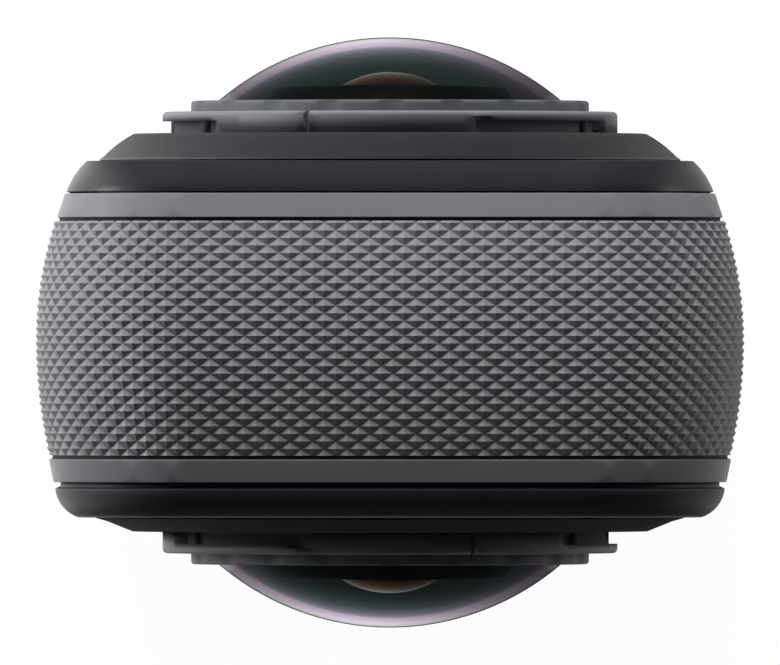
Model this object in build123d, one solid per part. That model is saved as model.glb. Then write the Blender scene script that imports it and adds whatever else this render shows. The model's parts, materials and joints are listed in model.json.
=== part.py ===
from build123d import *
import math
import os

os.makedirs("parts", exist_ok=True)

# Millimetres. The camera stands on its base at Z = 0, its front lens looks along +Y,
# its screen faces -Y, and X runs across its width.

# Overall size
body_width = 46.0
body_height = 124.5
top_corner_radius = 10.0
bottom_corner_radius = 8.0
base_cut = 1.5
lens_drop = 23.0

# Layers across the depth, outwards from the middle plane
sleeve_front = 7.22
front_seal_width = 0.23
front_trim_width = 1.56
front_cover_depth = 2.10
front_boss_height = 1.85
sleeve_rear = 7.94
rear_seal_width = 0.26
rear_trim_width = 1.49
bezel_groove_width = 0.38
bezel_depth = 1.90
rear_boss_height = 0.99

# Insets of the outer surfaces from the crown of the grip
crown_offset = 0.5
sleeve_front_inset = 1.23
sleeve_rear_inset = 0.85
front_seal_inset = 1.60
front_trim_low_inset = 1.43
front_trim_high_inset = 1.94
front_cover_low_inset = 2.02
front_cover_high_inset = 3.35
front_cover_bulge = 0.17
rear_seal_inset = 1.13
rear_trim_low_inset = 0.90
rear_trim_high_inset = 1.20
bezel_groove_inset = 1.65
bezel_low_inset = 1.30
bezel_high_inset = 2.80
bezel_bulge = 0.36

# Walls
sleeve_wall = 1.8
trim_wall = 2.8
frame_wall = 4.0
cover_rim_inset = 4.8
cover_lap = 0.4
front_cover_wall = 1.42

# Clearances
running_gap = 0.10
panel_gap = 0.15
pin_fit = 0.03
overrun = 2.0

# Lens surrounds
surround_bore = 14.10
front_boss_margin = 0.65
front_boss_bulge = 0.14
rear_boss_margin = 0.96
rear_boss_bulge = 0.005
boss_top_share = 0.448
plug_share = 0.67

# Bayonet ring for the lens guard
ring_seat_depth = 0.76
ring_wall_radius = 14.05
ring_lip_radius = 14.83
ring_middle_radius = 14.40
ring_slot_height = 0.81
ring_lip_height = 0.61
ring_lip_round = 0.30
ring_ledge_radius = 10.60
ring_ledge_height = 0.80
bayonet_count = 3
slot_start_angle = 22.6
slot_end_angle = 70.6
block_end_angle = 97.6
middle_half_angle = 21.4
detent_angle = 62.6
detent_radius = 0.35
lead_in_angle = 4.0
lead_in_depth = 0.22

# Retainer plate that holds the dome
plate_height = 0.72
plate_radius = 13.00
plate_edge_round = 0.25
scallop_count = 20
scallop_radius = 4.0
scallop_depth = 0.16

# Dome and inner elements
dome_rise = 4.14
dome_radius = 17.20
dome_rim_radius = 11.50
dome_seat_gap = 0.06
dome_wall = 1.54
dome_hollow_radius = 9.40
inner_lens_drop = 2.24
inner_lens_radius = 6.00
inner_lens_rim_radius = 5.60
inner_lens_depth = 1.95
relay_lens_length = 3.6
relay_lens_rim_drop = 4.4

# Lens barrel
barrel_radius = 8.0
barrel_bore = 4.6
barrel_flange_radius = 13.9
barrel_nose_drop = 1.0
barrel_nose_radii = [4.4, 5.0, 5.8, 6.6, 7.3]
barrel_nose_step = 0.44
sensor_recess_radius = 7.4
sensor_recess_depth = 1.7
lens_seal_thickness = 0.20
lens_seal_inner = 11.2
lens_seal_outer = 13.7

# Lens carriers, chassis and their screws
carrier_wall = 1.2
carrier_drop = 18.0
lens_screw_circle = 11.3
lens_screw_radius = 0.7
lens_screw_depth = 1.3
lens_screw_head_radius = 1.3
lens_screw_head_height = 0.8
chassis_bore = 8.30
fin_slot_width = 1.4
fin_slot_pitch = 3.0
fin_slot_count = 3
fin_slot_depth = 7.0

# Image sensors
spreader_thickness = 1.8
sensor_board_size = 11.4
sensor_board_thickness = 0.8
sensor_width = 9.0
sensor_height = 7.2
sensor_thickness = 0.9

# Battery, its bay and its cover
battery_thickness = 12.2
battery_middle = -0.3
battery_gap = 0.2
battery_end_gap = 0.9
battery_edge_round = 1.2
bay_wall = 0.6
bay_bottom = 14.9
side_zone_width = 6.7
battery_cover_lap = 0.3
battery_cover_plug = 1.6
battery_seal_width = 0.8
battery_seal_proud = 0.12
contact_count = 5
contact_width = 1.4
contact_pitch = 2.6
contact_thickness = 0.75
contact_height = 4.0

# Latch on the battery cover
latch_length = 6.0
latch_width = 4.4
latch_depth = 1.0
latch_travel = 2.0
latch_middle_share = 0.84
latch_recess_margin = 0.2
latch_rib_count = 3
latch_rib_pitch = 1.3
latch_rib_depth = 0.25
latch_rib_width = 0.5

# Memory card and its slot
card_length = 15.0
card_width = 11.0
card_thickness = 0.7
card_gap = 0.15
card_travel = 0.6
card_mouth_setback = 2.4
card_stick_out = 1.4
card_slot_wall = 0.25
card_slot_height = 2.0

# Speaker
speaker_height = 9.0
speaker_margin = 3.0
speaker_depth = 12.0
snout_width = 9.0
snout_height = 3.0
grille_hole_radius = 0.45
grille_hole_pitch = 1.6
grille_hole_count = 5

# Boards and what stands on them
main_board_thickness = 1.0
main_board_bottom = 9.0
main_board_margin = 1.5
processor_shield_size = 22.0
radio_shield_width = 18.0
radio_shield_height = 12.0
shield_thickness = 1.4
shield_gap = 2.0
microphone_radius = 1.3
microphone_height = 1.0
microphone_hole_radius = 0.35
microphone_edge = 4.0
status_light_radius = 0.9
status_light_setback = 0.06
status_light_drop = 3.0

# Screen
screen_side_margin = 2.5
screen_bottom = 19.5
screen_margin = 2.6
screen_corner_radius = 2.4
screen_glass_thickness = 0.90
screen_ledge = 1.0
display_gap = 0.1
display_bracket_wall = 1.0
display_rib_width = 1.6
display_rib_inset = 3.2

# Buttons under the screen
rear_button_height = 11.5
rear_button_spread = 6.5
shutter_radius = 4.2
lens_switch_radius = 3.2
rear_button_proud = 0.13
button_flange = 0.6
button_flange_thickness = 0.4
button_travel = 0.4
button_edge_round = 0.25
switch_slack = 0.05
rear_switch_board_width = 24.0
rear_switch_board_bottom = 4.5
rear_switch_board_lap = 3.0
rear_switch_board_thickness = 0.7
switch_radius = 1.6

# Buttons on the side
side_button_width = 4.4
side_button_length = 8.0
power_button_drop = 8.4
side_button_pitch = 12.0
side_button_setback = 0.10
side_flange_thickness = 0.65
side_switch_board_thickness = 0.8
side_switch_board_setback = 2.6
side_switch_board_lap = 5.0
side_switch_board_depth = 3.6

# USB port, door and hinge
port_height_share = 0.5926
port_length = 8.94
port_width = 3.16
port_depth = 6.4
port_shell_wall = 0.3
port_tongue_length = 6.6
port_tongue_width = 0.7
port_foot_length = 6.0
port_foot_depth = 4.0
port_mouth_setback = 0.2
door_half_width = 3.6
door_inner_setback = 1.6
door_rise = 8.4
hinge_drop = 7.4
hinge_setback = 1.1
hinge_pin_radius = 0.35
hinge_pin_reach = 0.8
hinge_knuckle_radius = 0.95
hinge_swing_gap = 1.25
door_bore_gap = 0.05
door_notch_radius = 1.6
door_notch_depth = 0.5
port_seal_width = 3.9
port_seal_length = 9.4
port_seal_depth = 1.8
port_seal_wall = 0.9
port_hole_gap = 0.35
port_hole_top_gap = 0.5

# Base
base_plate_width = 26.0
base_plate_depth = 11.6
base_plate_thickness = 1.4
base_plate_middle = -0.3
base_plate_corner = 2.0
insert_radius = 5.2
insert_height = 7.5
insert_flange_radius = 6.6
insert_flange_thickness = 0.8
insert_gap = 0.05
thread_radius = 3.2
thread_depth = 6.0
magnet_radius = 1.9
magnet_thickness = 0.6
magnet_spread = 8.0
base_screw_radius = 0.6
base_screw_head_radius = 1.2
base_screw_head_height = 0.7
base_screw_length = 2.2
base_screw_spread = 10.6
base_screw_depth_spread = 3.6

# Places worked out from the sizes above
half_width = body_width / 2
lens_height = body_height - lens_drop
front_trim_start = sleeve_front + front_seal_width
front_frame_end = front_trim_start + front_trim_width
front_plane = front_frame_end + front_cover_depth
front_boss_plane = front_plane + front_boss_height
front_inner_plane = front_plane - front_cover_wall
rear_trim_start = sleeve_rear + rear_seal_width
rear_frame_end = rear_trim_start + rear_trim_width
bezel_rim = rear_frame_end + bezel_groove_width
rear_plane = bezel_rim + bezel_depth
rear_boss_plane = rear_plane + rear_boss_height
rear_inner_plane = rear_frame_end
inner_half = half_width - frame_wall
inner_floor = frame_wall - base_cut
carrier_bottom = lens_height - carrier_drop
board_plane = spreader_thickness / 2 + sensor_board_thickness

front_boss_radius = half_width - front_cover_high_inset - front_boss_margin
rear_boss_radius = half_width - bezel_high_inset - rear_boss_margin
front_boss_top_radius = ring_lip_radius + boss_top_share * (front_boss_radius - ring_lip_radius)
rear_boss_top_radius = ring_lip_radius + boss_top_share * (rear_boss_radius - ring_lip_radius)
surround_plug = surround_bore + plug_share * (front_boss_radius - surround_bore)

battery_rear = battery_middle - battery_thickness / 2
battery_front = battery_middle + battery_thickness / 2
bay_rear = battery_rear - battery_gap - bay_wall
bay_front = battery_front + battery_gap + bay_wall
bay_end = inner_half - side_zone_width
card_pocket_height = card_width + 2 * (card_gap + card_slot_wall + running_gap)
bay_top = carrier_bottom - speaker_height - running_gap
card_pocket_top = bay_top - bay_wall
card_pocket_bottom = card_pocket_top - card_pocket_height
battery_pocket_top = card_pocket_bottom - bay_wall
battery_pocket_bottom = bay_bottom + bay_wall
battery_bottom = battery_pocket_bottom + battery_gap
battery_top = battery_pocket_top - battery_gap
battery_outer = half_width - sleeve_wall - battery_cover_plug
battery_end = bay_end - bay_wall - battery_end_gap
card_middle = (card_pocket_bottom + card_pocket_top) / 2

main_board_rear = bay_front
main_board_front = bay_front + main_board_thickness
main_board_width = 2 * (inner_half - main_board_margin)
speaker_width = 2 * (inner_half - speaker_margin)
power_button_height = bay_top - power_button_drop
quick_button_height = power_button_height - side_button_pitch
port_height = port_height_share * quick_button_height
hinge_height = port_height - hinge_drop
door_top_height = port_height + door_rise
screen_width = 2 * (half_width - bezel_high_inset - screen_side_margin)
screen_top = lens_height - rear_boss_radius - screen_margin
screen_middle = (screen_bottom + screen_top) / 2
screen_height = screen_top - screen_bottom
hinge_x = half_width - hinge_setback

QUARTER_TURN = 90
HALF_TURN = 180
FULL_TURN = 360


def span_box(x_low, x_high, y_low, y_high, z_low, z_high):
    """Box between two opposite corners."""
    middle = ((x_low + x_high) / 2, (y_low + y_high) / 2, (z_low + z_high) / 2)
    return Pos(*middle) * Box(x_high - x_low, y_high - y_low, z_high - z_low)


def rod_y(radius, y_low, y_high, x, z):
    """Cylinder along Y."""
    middle = (x, (y_low + y_high) / 2, z)
    return Pos(*middle) * Rot(QUARTER_TURN, 0, 0) * Cylinder(radius, y_high - y_low)


def rod_z(radius, z_low, z_high, x, y):
    """Cylinder along Z."""
    return Pos(x, y, (z_low + z_high) / 2) * Cylinder(radius, z_high - z_low)


def prism_y(face, y_low, y_high):
    """Extrude a face drawn in the XZ plane from one depth to another."""
    return Pos(0, y_low, 0) * extrude(face, amount=y_high - y_low, dir=(0, 1, 0))


def rounded_face(width, height, radius, z_middle):
    """Rounded rectangle in the XZ plane."""
    return Pos(0, 0, z_middle) * (Plane.XZ * RectangleRounded(width, height, radius))


def pill_x(length, width, x_low, x_high, y, z):
    """Pill-shaped bar along X, long way up."""
    plane = Plane((x_low, y, z), x_dir=(0, 0, 1), z_dir=(1, 0, 0))
    return extrude(plane * SlotOverall(length, width), amount=x_high - x_low)


def outline(inset):
    """Outline of the body seen from the front, drawn in by an inset."""
    half = half_width - inset
    top = body_height - inset
    bottom = inset - base_cut
    upper = top_corner_radius - inset
    lower = bottom_corner_radius - inset
    upper_z = top - upper
    lower_z = bottom + lower
    edges = [
        Line((0, top), (half - upper, top)),
        CenterArc((half - upper, upper_z), upper, QUARTER_TURN, -QUARTER_TURN),
        Line((half, upper_z), (half, lower_z)),
        CenterArc((half - lower, lower_z), lower, 0, -QUARTER_TURN),
        Line((half - lower, bottom), (lower - half, bottom)),
        CenterArc((lower - half, lower_z), lower, -QUARTER_TURN, -QUARTER_TURN),
        Line((-half, lower_z), (-half, upper_z)),
        CenterArc((upper - half, upper_z), upper, HALF_TURN, -QUARTER_TURN),
        Line((upper - half, top), (0, top)),
    ]
    return Plane.XZ * Wire(edges)


def flat_base(shape):
    """Cut away what would reach below the base."""
    return shape - span_box(-body_width, body_width, -body_width, body_width, -body_width, 0)


def band(*edges):
    """Ring swept round the body outline; each point is a depth and minus an inset."""
    start = Plane((0, 0, body_height), x_dir=(0, 1, 0), z_dir=(1, 0, 0))
    return flat_base(sweep(start * make_face(edges), path=outline(0)))


def slab(inset, y_low, y_high):
    """Plate of the body outline between two depths."""
    return flat_base(prism_y(make_face(outline(inset).edges()), y_low, y_high))


def bulged(start, end, bulge, side):
    """Shallow arc between two points; side is 1 or -1 for the way that it bulges."""
    run = Vector(*end) - Vector(*start)
    normal = Vector(-run.Y, run.X).normalized() * bulge * side
    middle = (Vector(*start) + Vector(*end)) / 2 + normal
    return ThreePointArc(start, (middle.X, middle.Y), end)


def turned(*edges):
    """Ring turned about the lens axis; each point is a depth and a radius."""
    plane = Plane((0, 0, lens_height), x_dir=(0, 1, 0), z_dir=(1, 0, 0))
    return revolve(plane * make_face(edges), axis=Axis((0, 0, lens_height), (0, 1, 0)))


def sphere_depth(centre, radius, reach):
    """Depth of a sphere's front surface at a distance from the lens axis."""
    return centre + math.sqrt(radius ** 2 - reach ** 2)


def sphere_reach(centre, radius, depth):
    """Distance from the lens axis of a sphere's surface at a depth."""
    return math.sqrt(radius ** 2 - (depth - centre) ** 2)


def sector(start_angle, end_angle, y_low, y_high):
    """Wedge about the lens axis, angles from straight up towards +X."""
    start = QUARTER_TURN - end_angle
    sweep_angle = end_angle - start_angle
    arc = CenterArc((0, 0), body_width, start, sweep_angle)
    face = make_face([Line((0, 0), arc @ 0), arc, Line(arc @ 1, (0, 0))])
    return Pos(0, 0, lens_height) * prism_y(Plane.XZ * face, y_low, y_high)


def about_lens(angle, reach):
    """X and Z of a point round the lens axis, angle from straight up towards +X."""
    turn = math.radians(angle)
    return reach * math.sin(turn), lens_height + reach * math.cos(turn)


def to_rear(shape):
    """Turn a front lens piece to face the rear."""
    return shape.rotate(Axis.Z, HALF_TURN)


# Shell: grip sleeve, frame, trims and seals

def crowned_band():
    """Whole crowned band, before anything is cut out of it."""
    apex = (-crown_offset, 0)
    front = (sleeve_front, -sleeve_front_inset)
    rear = (-sleeve_rear, -sleeve_rear_inset)
    return band(
        TangentArc(apex, front, tangent=(1, 0)),
        Polyline(front, (sleeve_front, -sleeve_wall), (-sleeve_rear, -sleeve_wall), rear),
        TangentArc(apex, rear, tangent=(-1, 0)),
    )


def battery_window(margin, x_low, x_high):
    """Box through the side wall that the battery slides through."""
    rear = battery_rear - battery_gap - margin
    front = battery_front + battery_gap + margin
    bottom = battery_pocket_bottom - margin
    top = card_pocket_top + margin
    return span_box(x_low, x_high, rear, front, bottom, top)


def hinge_rod(radius, reach):
    """Cylinder on the hinge axis, as long as the door is wide plus a reach."""
    half = door_half_width + reach
    return rod_y(radius, -half, half, hinge_x, hinge_height)


def base_plate_block(margin, z_high):
    """Rounded block of the base plate's outline, from the base up."""
    width = base_plate_width + 2 * margin
    depth = base_plate_depth + 2 * margin
    face = Pos(0, base_plate_middle, 0) * RectangleRounded(width, depth, base_plate_corner)
    return extrude(face, amount=z_high)


def grip_sleeve():
    door_low = hinge_height - hinge_swing_gap
    door_high = door_top_height + panel_gap
    door_half = door_half_width + panel_gap
    shape = crowned_band()
    shape -= battery_window(battery_cover_lap + panel_gap, -half_width - overrun, -inner_half)
    shape -= span_box(inner_half, half_width + overrun, -door_half, door_half, door_low, door_high)
    shape -= hinge_rod(hinge_pin_radius + pin_fit, hinge_pin_reach + running_gap)
    for height in (power_button_height, quick_button_height):
        shape -= pill_x(side_button_length + 2 * running_gap, side_button_width + 2 * running_gap,
                        inner_half, half_width + overrun, 0, height)
    return shape - base_plate_block(running_gap, base_plate_thickness)


def centre_frame():
    shape = band(Polyline(
        (-rear_frame_end, -frame_wall), (-rear_frame_end, -trim_wall), (-sleeve_rear, -trim_wall),
        (-sleeve_rear, -sleeve_wall), (sleeve_front, -sleeve_wall), (sleeve_front, -trim_wall),
        (front_frame_end, -trim_wall), (front_frame_end, -frame_wall), close=True))
    shape -= battery_window(0, -half_width, overrun - inner_half)
    for height in (power_button_height, quick_button_height):
        shape -= pill_x(side_button_length + 2 * running_gap, side_button_width + 2 * running_gap,
                        inner_half - overrun, half_width, 0, height)
    port_half = port_seal_width / 2 + port_hole_gap
    port_low = port_height - port_seal_length / 2 - port_hole_gap
    port_high = port_height + port_seal_length / 2 + port_hole_top_gap
    shape -= span_box(inner_half - overrun, half_width, -port_half, port_half, port_low, port_high)
    shape -= hinge_rod(hinge_knuckle_radius + panel_gap, panel_gap)
    shape -= base_plate_block(running_gap, base_plate_thickness)
    shape -= rod_z(insert_radius + insert_gap, 0, inner_floor + overrun, 0, 0)
    for side in (-1, 1):
        shape -= rod_z(magnet_radius + insert_gap, 0, base_plate_thickness + magnet_thickness,
                       side * magnet_spread, 0)
    for x, y in base_screw_places():
        shape -= rod_z(base_screw_radius, 0, base_screw_length, x, y)
    return shape


def trim_band(start, end, start_inset, end_inset):
    """Plain band beside the sleeve; start and end are signed depths."""
    return band(Polyline((start, -start_inset), (end, -end_inset), (end, -trim_wall),
                         (start, -trim_wall), close=True))


def cover_with_rim(outer_edges, outer_end, inner_end, rim_end, y_low, y_high):
    """Cover made of a rim swept round the outline and a plate that closes it."""
    outer = Polyline(outer_end, (outer_end[0], -cover_rim_inset), (inner_end, -cover_rim_inset),
                     (inner_end, -frame_wall), (rim_end[0], -frame_wall), rim_end)
    return band(*outer_edges, outer) + slab(cover_rim_inset - cover_lap, y_low, y_high)


def front_cover():
    rim = (front_frame_end, -front_cover_low_inset)
    edge = (front_plane, -front_cover_high_inset)
    shape = cover_with_rim([bulged(rim, edge, front_cover_bulge, 1)], edge, front_inner_plane, rim,
                           front_inner_plane, front_plane)
    low = front_inner_plane - overrun
    high = front_plane + overrun
    shape -= rod_y(surround_plug + running_gap, low, high, 0, lens_height)
    for index in range(grille_hole_count):
        x = (index - (grille_hole_count - 1) / 2) * grille_hole_pitch
        shape -= rod_y(grille_hole_radius, low, high, x, speaker_middle())
    for x, z in microphone_places():
        shape -= rod_y(microphone_hole_radius, low, high, x, z)
    light_radius = status_light_radius + pin_fit
    return shape - rod_y(light_radius, low, high, 0, status_light_place())


def rear_bezel():
    rim = (-bezel_rim, -bezel_low_inset)
    edge = (-rear_plane, -bezel_high_inset)
    step = Polyline(rim, (-bezel_rim, -bezel_groove_inset), (-rear_frame_end, -bezel_groove_inset),
                    (-rear_frame_end, -cover_rim_inset), (-rear_plane, -cover_rim_inset), edge)
    shape = band(bulged(rim, edge, bezel_bulge, -1), step)
    shape += slab(cover_rim_inset - cover_lap, -rear_plane, -rear_frame_end)
    low = -rear_plane - overrun
    high = overrun - rear_inner_plane
    shape -= rod_y(surround_plug + running_gap, low, high, 0, lens_height)
    pocket = rounded_face(screen_width + 2 * display_gap, screen_height + 2 * display_gap,
                          screen_corner_radius + display_gap, screen_middle)
    window = rounded_face(screen_width - 2 * screen_ledge, screen_height - 2 * screen_ledge,
                          screen_corner_radius, screen_middle)
    shape -= prism_y(pocket, low, screen_glass_thickness - rear_plane)
    shape -= prism_y(window, low, high)
    for x, radius in rear_buttons().values():
        shape -= rod_y(radius + running_gap, low, high, x, rear_button_height)
    return shape


# Lens surrounds and bayonet rings

def lens_surround(inner, plane, boss_plane, radius, top_radius, bulge):
    return turned(
        Polyline((plane, radius), (plane, surround_plug), (inner, surround_plug),
                 (inner, surround_bore), (boss_plane, surround_bore), (boss_plane, top_radius)),
        bulged((plane, radius), (boss_plane, top_radius), bulge, 1),
    )


def bayonet_ring(boss_plane):
    low = boss_plane - ring_seat_depth
    slot_top = boss_plane + ring_slot_height
    top = slot_top + ring_lip_height
    ledge = low + ring_ledge_height
    bore = dome_rim_radius + dome_seat_gap
    shape = turned(Polyline((low, ring_ledge_radius), (low, ring_wall_radius),
                            (top, ring_wall_radius), (top, bore), (ledge, bore),
                            (ledge, ring_ledge_radius), close=True))

    def rounded_rim(bottom, radius):
        shoulder = (top - ring_lip_round, radius)
        crest = (top, radius - ring_lip_round)
        return turned(
            Polyline(crest, (top, ring_wall_radius - ring_lip_round),
                     (bottom, ring_wall_radius - ring_lip_round), (bottom, radius), shoulder),
            TangentArc(shoulder, crest, tangent=(1, 0)),
        )

    lip = rounded_rim(slot_top, ring_lip_radius)
    block = rounded_rim(boss_plane, ring_lip_radius)
    middle = rounded_rim(boss_plane, ring_middle_radius)
    for index in range(bayonet_count):
        turn = index * FULL_TURN / bayonet_count
        shape += lip & sector(turn + slot_start_angle, turn + block_end_angle, low, top + overrun)
        shape += block & sector(turn + slot_end_angle, turn + block_end_angle, low, top + overrun)
        shape += middle & sector(turn - middle_half_angle, turn + slot_start_angle, low, top + overrun)
        x, z = about_lens(turn + detent_angle, ring_wall_radius)
        shape += rod_y(detent_radius, boss_plane, slot_top, x, z)
        ramp = sector(turn + slot_start_angle, turn + slot_start_angle + lead_in_angle,
                      boss_plane, slot_top + lead_in_depth)
        shape -= ramp - rod_y(ring_middle_radius, low, top, 0, lens_height)
    return shape


def lens_retainer(boss_plane):
    low = boss_plane + ring_slot_height + ring_lip_height
    top = low + plate_height
    centre = dome_apex(boss_plane) - dome_radius
    bore = dome_rim_radius + dome_seat_gap
    shoulder = sphere_depth(centre, dome_radius, dome_rim_radius)
    mouth = sphere_reach(centre, dome_radius, top) + dome_seat_gap
    rim = (top - plate_edge_round, plate_radius)
    crest = (top, plate_radius - plate_edge_round)
    shape = turned(
        Polyline(crest, (top, mouth), (shoulder, bore), (low, bore), (low, plate_radius), rim),
        TangentArc(rim, crest, tangent=(1, 0)),
    )
    for index in range(scallop_count):
        angle = index * FULL_TURN / scallop_count
        x, z = about_lens(angle, plate_radius + scallop_radius - scallop_depth)
        shape -= rod_y(scallop_radius, low - overrun, top + overrun, x, z)
    return shape


def dome_apex(boss_plane):
    return boss_plane + ring_slot_height + ring_lip_height + plate_height + dome_rise


def dome_glass(boss_plane):
    apex = dome_apex(boss_plane)
    centre = apex - dome_radius
    low = boss_plane - ring_seat_depth + ring_ledge_height
    shoulder = (sphere_depth(centre, dome_radius, dome_rim_radius), dome_rim_radius)
    hollow_apex = apex - dome_wall
    hollow_rim = (low, sphere_reach(hollow_apex - dome_hollow_radius, dome_hollow_radius, low))
    return turned(
        Line((hollow_apex, 0), (apex, 0)),
        TangentArc((apex, 0), shoulder, tangent=(0, 1)),
        Polyline(shoulder, (low, dome_rim_radius), hollow_rim),
        TangentArc((hollow_apex, 0), hollow_rim, tangent=(0, 1)),
    )


# Lens modules

def inner_lens_centre(boss_plane):
    return dome_apex(boss_plane) - inner_lens_drop - inner_lens_radius


def inner_lens_rim(boss_plane):
    return sphere_depth(inner_lens_centre(boss_plane), inner_lens_radius, inner_lens_rim_radius)


def inner_lens(boss_plane):
    apex = inner_lens_centre(boss_plane) + inner_lens_radius
    rim = (inner_lens_rim(boss_plane), inner_lens_rim_radius)
    low = rim[0] - inner_lens_depth
    return turned(
        TangentArc((apex, 0), rim, tangent=(0, 1)),
        Polyline(rim, (low, inner_lens_rim_radius), (low, 0), (apex, 0)),
    )


def relay_lens(boss_plane):
    high = inner_lens_rim(boss_plane) - inner_lens_depth - relay_lens_rim_drop
    return rod_y(barrel_bore - pin_fit, high - relay_lens_length, high, 0, lens_height)


def lens_barrel(inner, boss_plane):
    centre = inner_lens_centre(boss_plane)
    rim = inner_lens_rim(boss_plane)
    nose = centre + inner_lens_radius - barrel_nose_drop
    flange_top = boss_plane - ring_seat_depth - lens_seal_thickness
    seat = inner_lens_rim_radius + pin_fit
    cup = inner_lens_radius + pin_fit
    mouth = (nose, sphere_reach(centre, cup, nose))
    throat = (sphere_depth(centre, cup, seat), seat)
    middle_reach = (mouth[1] + throat[1]) / 2
    middle = (sphere_depth(centre, cup, middle_reach), middle_reach)
    steps = []
    depth = nose
    for radius in barrel_nose_radii:
        steps += [(depth, radius), (depth - barrel_nose_step, radius)]
        depth -= barrel_nose_step
    last_radius = barrel_nose_radii[-1]
    steps[-1] = (flange_top, last_radius)
    shelf = rim - inner_lens_depth
    recess = board_plane + sensor_recess_depth
    inside = [throat, (shelf, seat), (shelf, barrel_bore), (recess, barrel_bore),
              (recess, sensor_recess_radius), (board_plane, sensor_recess_radius)]
    outside = [(board_plane, barrel_radius), (inner, barrel_radius), (inner, barrel_flange_radius),
               (flange_top, barrel_flange_radius)]
    shape = turned(
        ThreePointArc(mouth, middle, throat),
        Polyline(*inside, *outside, *reversed(steps), mouth),
    )
    for x, z in lens_screw_places():
        shape -= rod_y(lens_screw_radius, inner, inner + lens_screw_depth, x, z)
    return shape


def lens_seal(boss_plane):
    low = boss_plane - ring_seat_depth - lens_seal_thickness
    high = boss_plane - ring_seat_depth
    return turned(Polyline((low, lens_seal_inner), (high, lens_seal_inner),
                           (high, lens_seal_outer), (low, lens_seal_outer), close=True))


def lens_screw_places():
    return [about_lens(index * FULL_TURN / bayonet_count, lens_screw_circle)
            for index in range(bayonet_count)]


def lens_screws(inner):
    seat = inner - carrier_wall
    screws = []
    for x, z in lens_screw_places():
        head = rod_y(lens_screw_head_radius, seat - lens_screw_head_height, seat, x, z)
        screws.append(head + rod_y(lens_screw_radius, seat, inner + lens_screw_depth, x, z))
    return screws


def upper_slab(inset, y_low, y_high):
    """Part of a plate of the body outline that lies beside the lenses."""
    shape = slab(inset, y_low, y_high)
    return shape - span_box(-body_width, body_width, -body_width, body_width, 0, carrier_bottom)


def lens_carrier(inner):
    seat = inner - carrier_wall
    shape = upper_slab(frame_wall + running_gap, seat, inner)
    shape -= rod_y(barrel_radius + running_gap, seat, inner, 0, lens_height)
    for x, z in lens_screw_places():
        shape -= rod_y(lens_screw_radius, seat, inner, x, z)
    return shape


def lens_chassis():
    low = carrier_wall - rear_inner_plane
    high = front_inner_plane - carrier_wall
    shape = upper_slab(frame_wall + running_gap, low, high)
    shape -= rod_y(chassis_bore, low, high, 0, lens_height)
    pocket_radius = lens_screw_head_radius + running_gap
    pocket_depth = lens_screw_head_height + running_gap
    for x, z in lens_screw_places():
        mirrored = (-x, z)
        shape -= rod_y(pocket_radius, high - pocket_depth, high, x, z)
        shape -= rod_y(pocket_radius, low, low + pocket_depth, *mirrored)
    for side in (-1, 1):
        for index in range(fin_slot_count):
            reach = inner_half - running_gap - index * fin_slot_pitch - fin_slot_pitch
            near = side * reach
            far = side * (reach + fin_slot_width)
            for depth_low, depth_high in ((low, low + fin_slot_depth), (high - fin_slot_depth, high)):
                shape -= span_box(min(near, far), max(near, far), depth_low, depth_high,
                                  carrier_bottom + fin_slot_pitch,
                                  body_height - top_corner_radius - frame_wall)
    return shape


def sensor_board():
    half = sensor_board_size / 2
    low = spreader_thickness / 2
    return span_box(-half, half, low, board_plane, lens_height - half, lens_height + half)


def image_sensor():
    half_w = sensor_width / 2
    half_h = sensor_height / 2
    high = board_plane + sensor_thickness
    return span_box(-half_w, half_w, board_plane, high, lens_height - half_h, lens_height + half_h)


def heat_spreader():
    half = spreader_thickness / 2
    return rod_y(chassis_bore - insert_gap, -half, half, 0, lens_height)


# Battery, bay, cover and latch

def battery_bay():
    shape = span_box(-inner_half, bay_end, bay_rear, bay_front, bay_bottom, bay_top)
    low = -inner_half - overrun
    shape -= span_box(low, bay_end - bay_wall, bay_rear + bay_wall, bay_front - bay_wall,
                      battery_pocket_bottom, battery_pocket_top)
    half = card_slot_height / 2 + running_gap
    shape -= span_box(low, card_slot_end() + running_gap, -half, half,
                      card_pocket_bottom, card_pocket_top)
    return shape


def battery_pack():
    shape = span_box(-battery_outer, battery_end, battery_rear, battery_front,
                     battery_bottom, battery_top)
    return fillet(shape.edges().filter_by(Axis.X), battery_edge_round)


def battery_cover():
    plug_face = half_width - sleeve_wall
    margin = battery_cover_lap
    shape = crowned_band() & battery_window(margin, -half_width - overrun, -plug_face)
    plug = battery_window(-battery_gap, -plug_face, -battery_outer)
    shape += plug
    shape -= span_box(-half_width, latch_depth - half_width, -latch_width / 2 - latch_recess_margin,
                      latch_width / 2 + latch_recess_margin,
                      latch_middle() - latch_length / 2 - latch_travel - latch_recess_margin,
                      latch_middle() + latch_length / 2 + latch_recess_margin)
    groove = battery_window(0, -plug_face, -battery_outer) - plug
    groove &= battery_window(0, -plug_face, battery_seal_width - plug_face)
    return shape - groove


def battery_cover_seal():
    plug_face = half_width - sleeve_wall
    low = -plug_face + battery_seal_width / 2
    high = low + battery_seal_width
    ring = battery_window(battery_seal_proud - battery_gap, low, high)
    return ring - battery_window(-battery_gap, low - overrun, high + overrun)


def latch_middle():
    return battery_pocket_bottom + latch_middle_share * (card_pocket_top - battery_pocket_bottom)


def battery_latch():
    middle = latch_middle()
    half = latch_length / 2
    shape = crowned_band() & span_box(-half_width, latch_depth - running_gap - half_width,
                                      -latch_width / 2, latch_width / 2, middle - half, middle + half)
    for index in range(latch_rib_count):
        z = middle + (index - (latch_rib_count - 1) / 2) * latch_rib_pitch
        shape -= span_box(-half_width, latch_rib_depth - half_width, -latch_width, latch_width,
                          z - latch_rib_width / 2, z + latch_rib_width / 2)
    return shape


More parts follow.
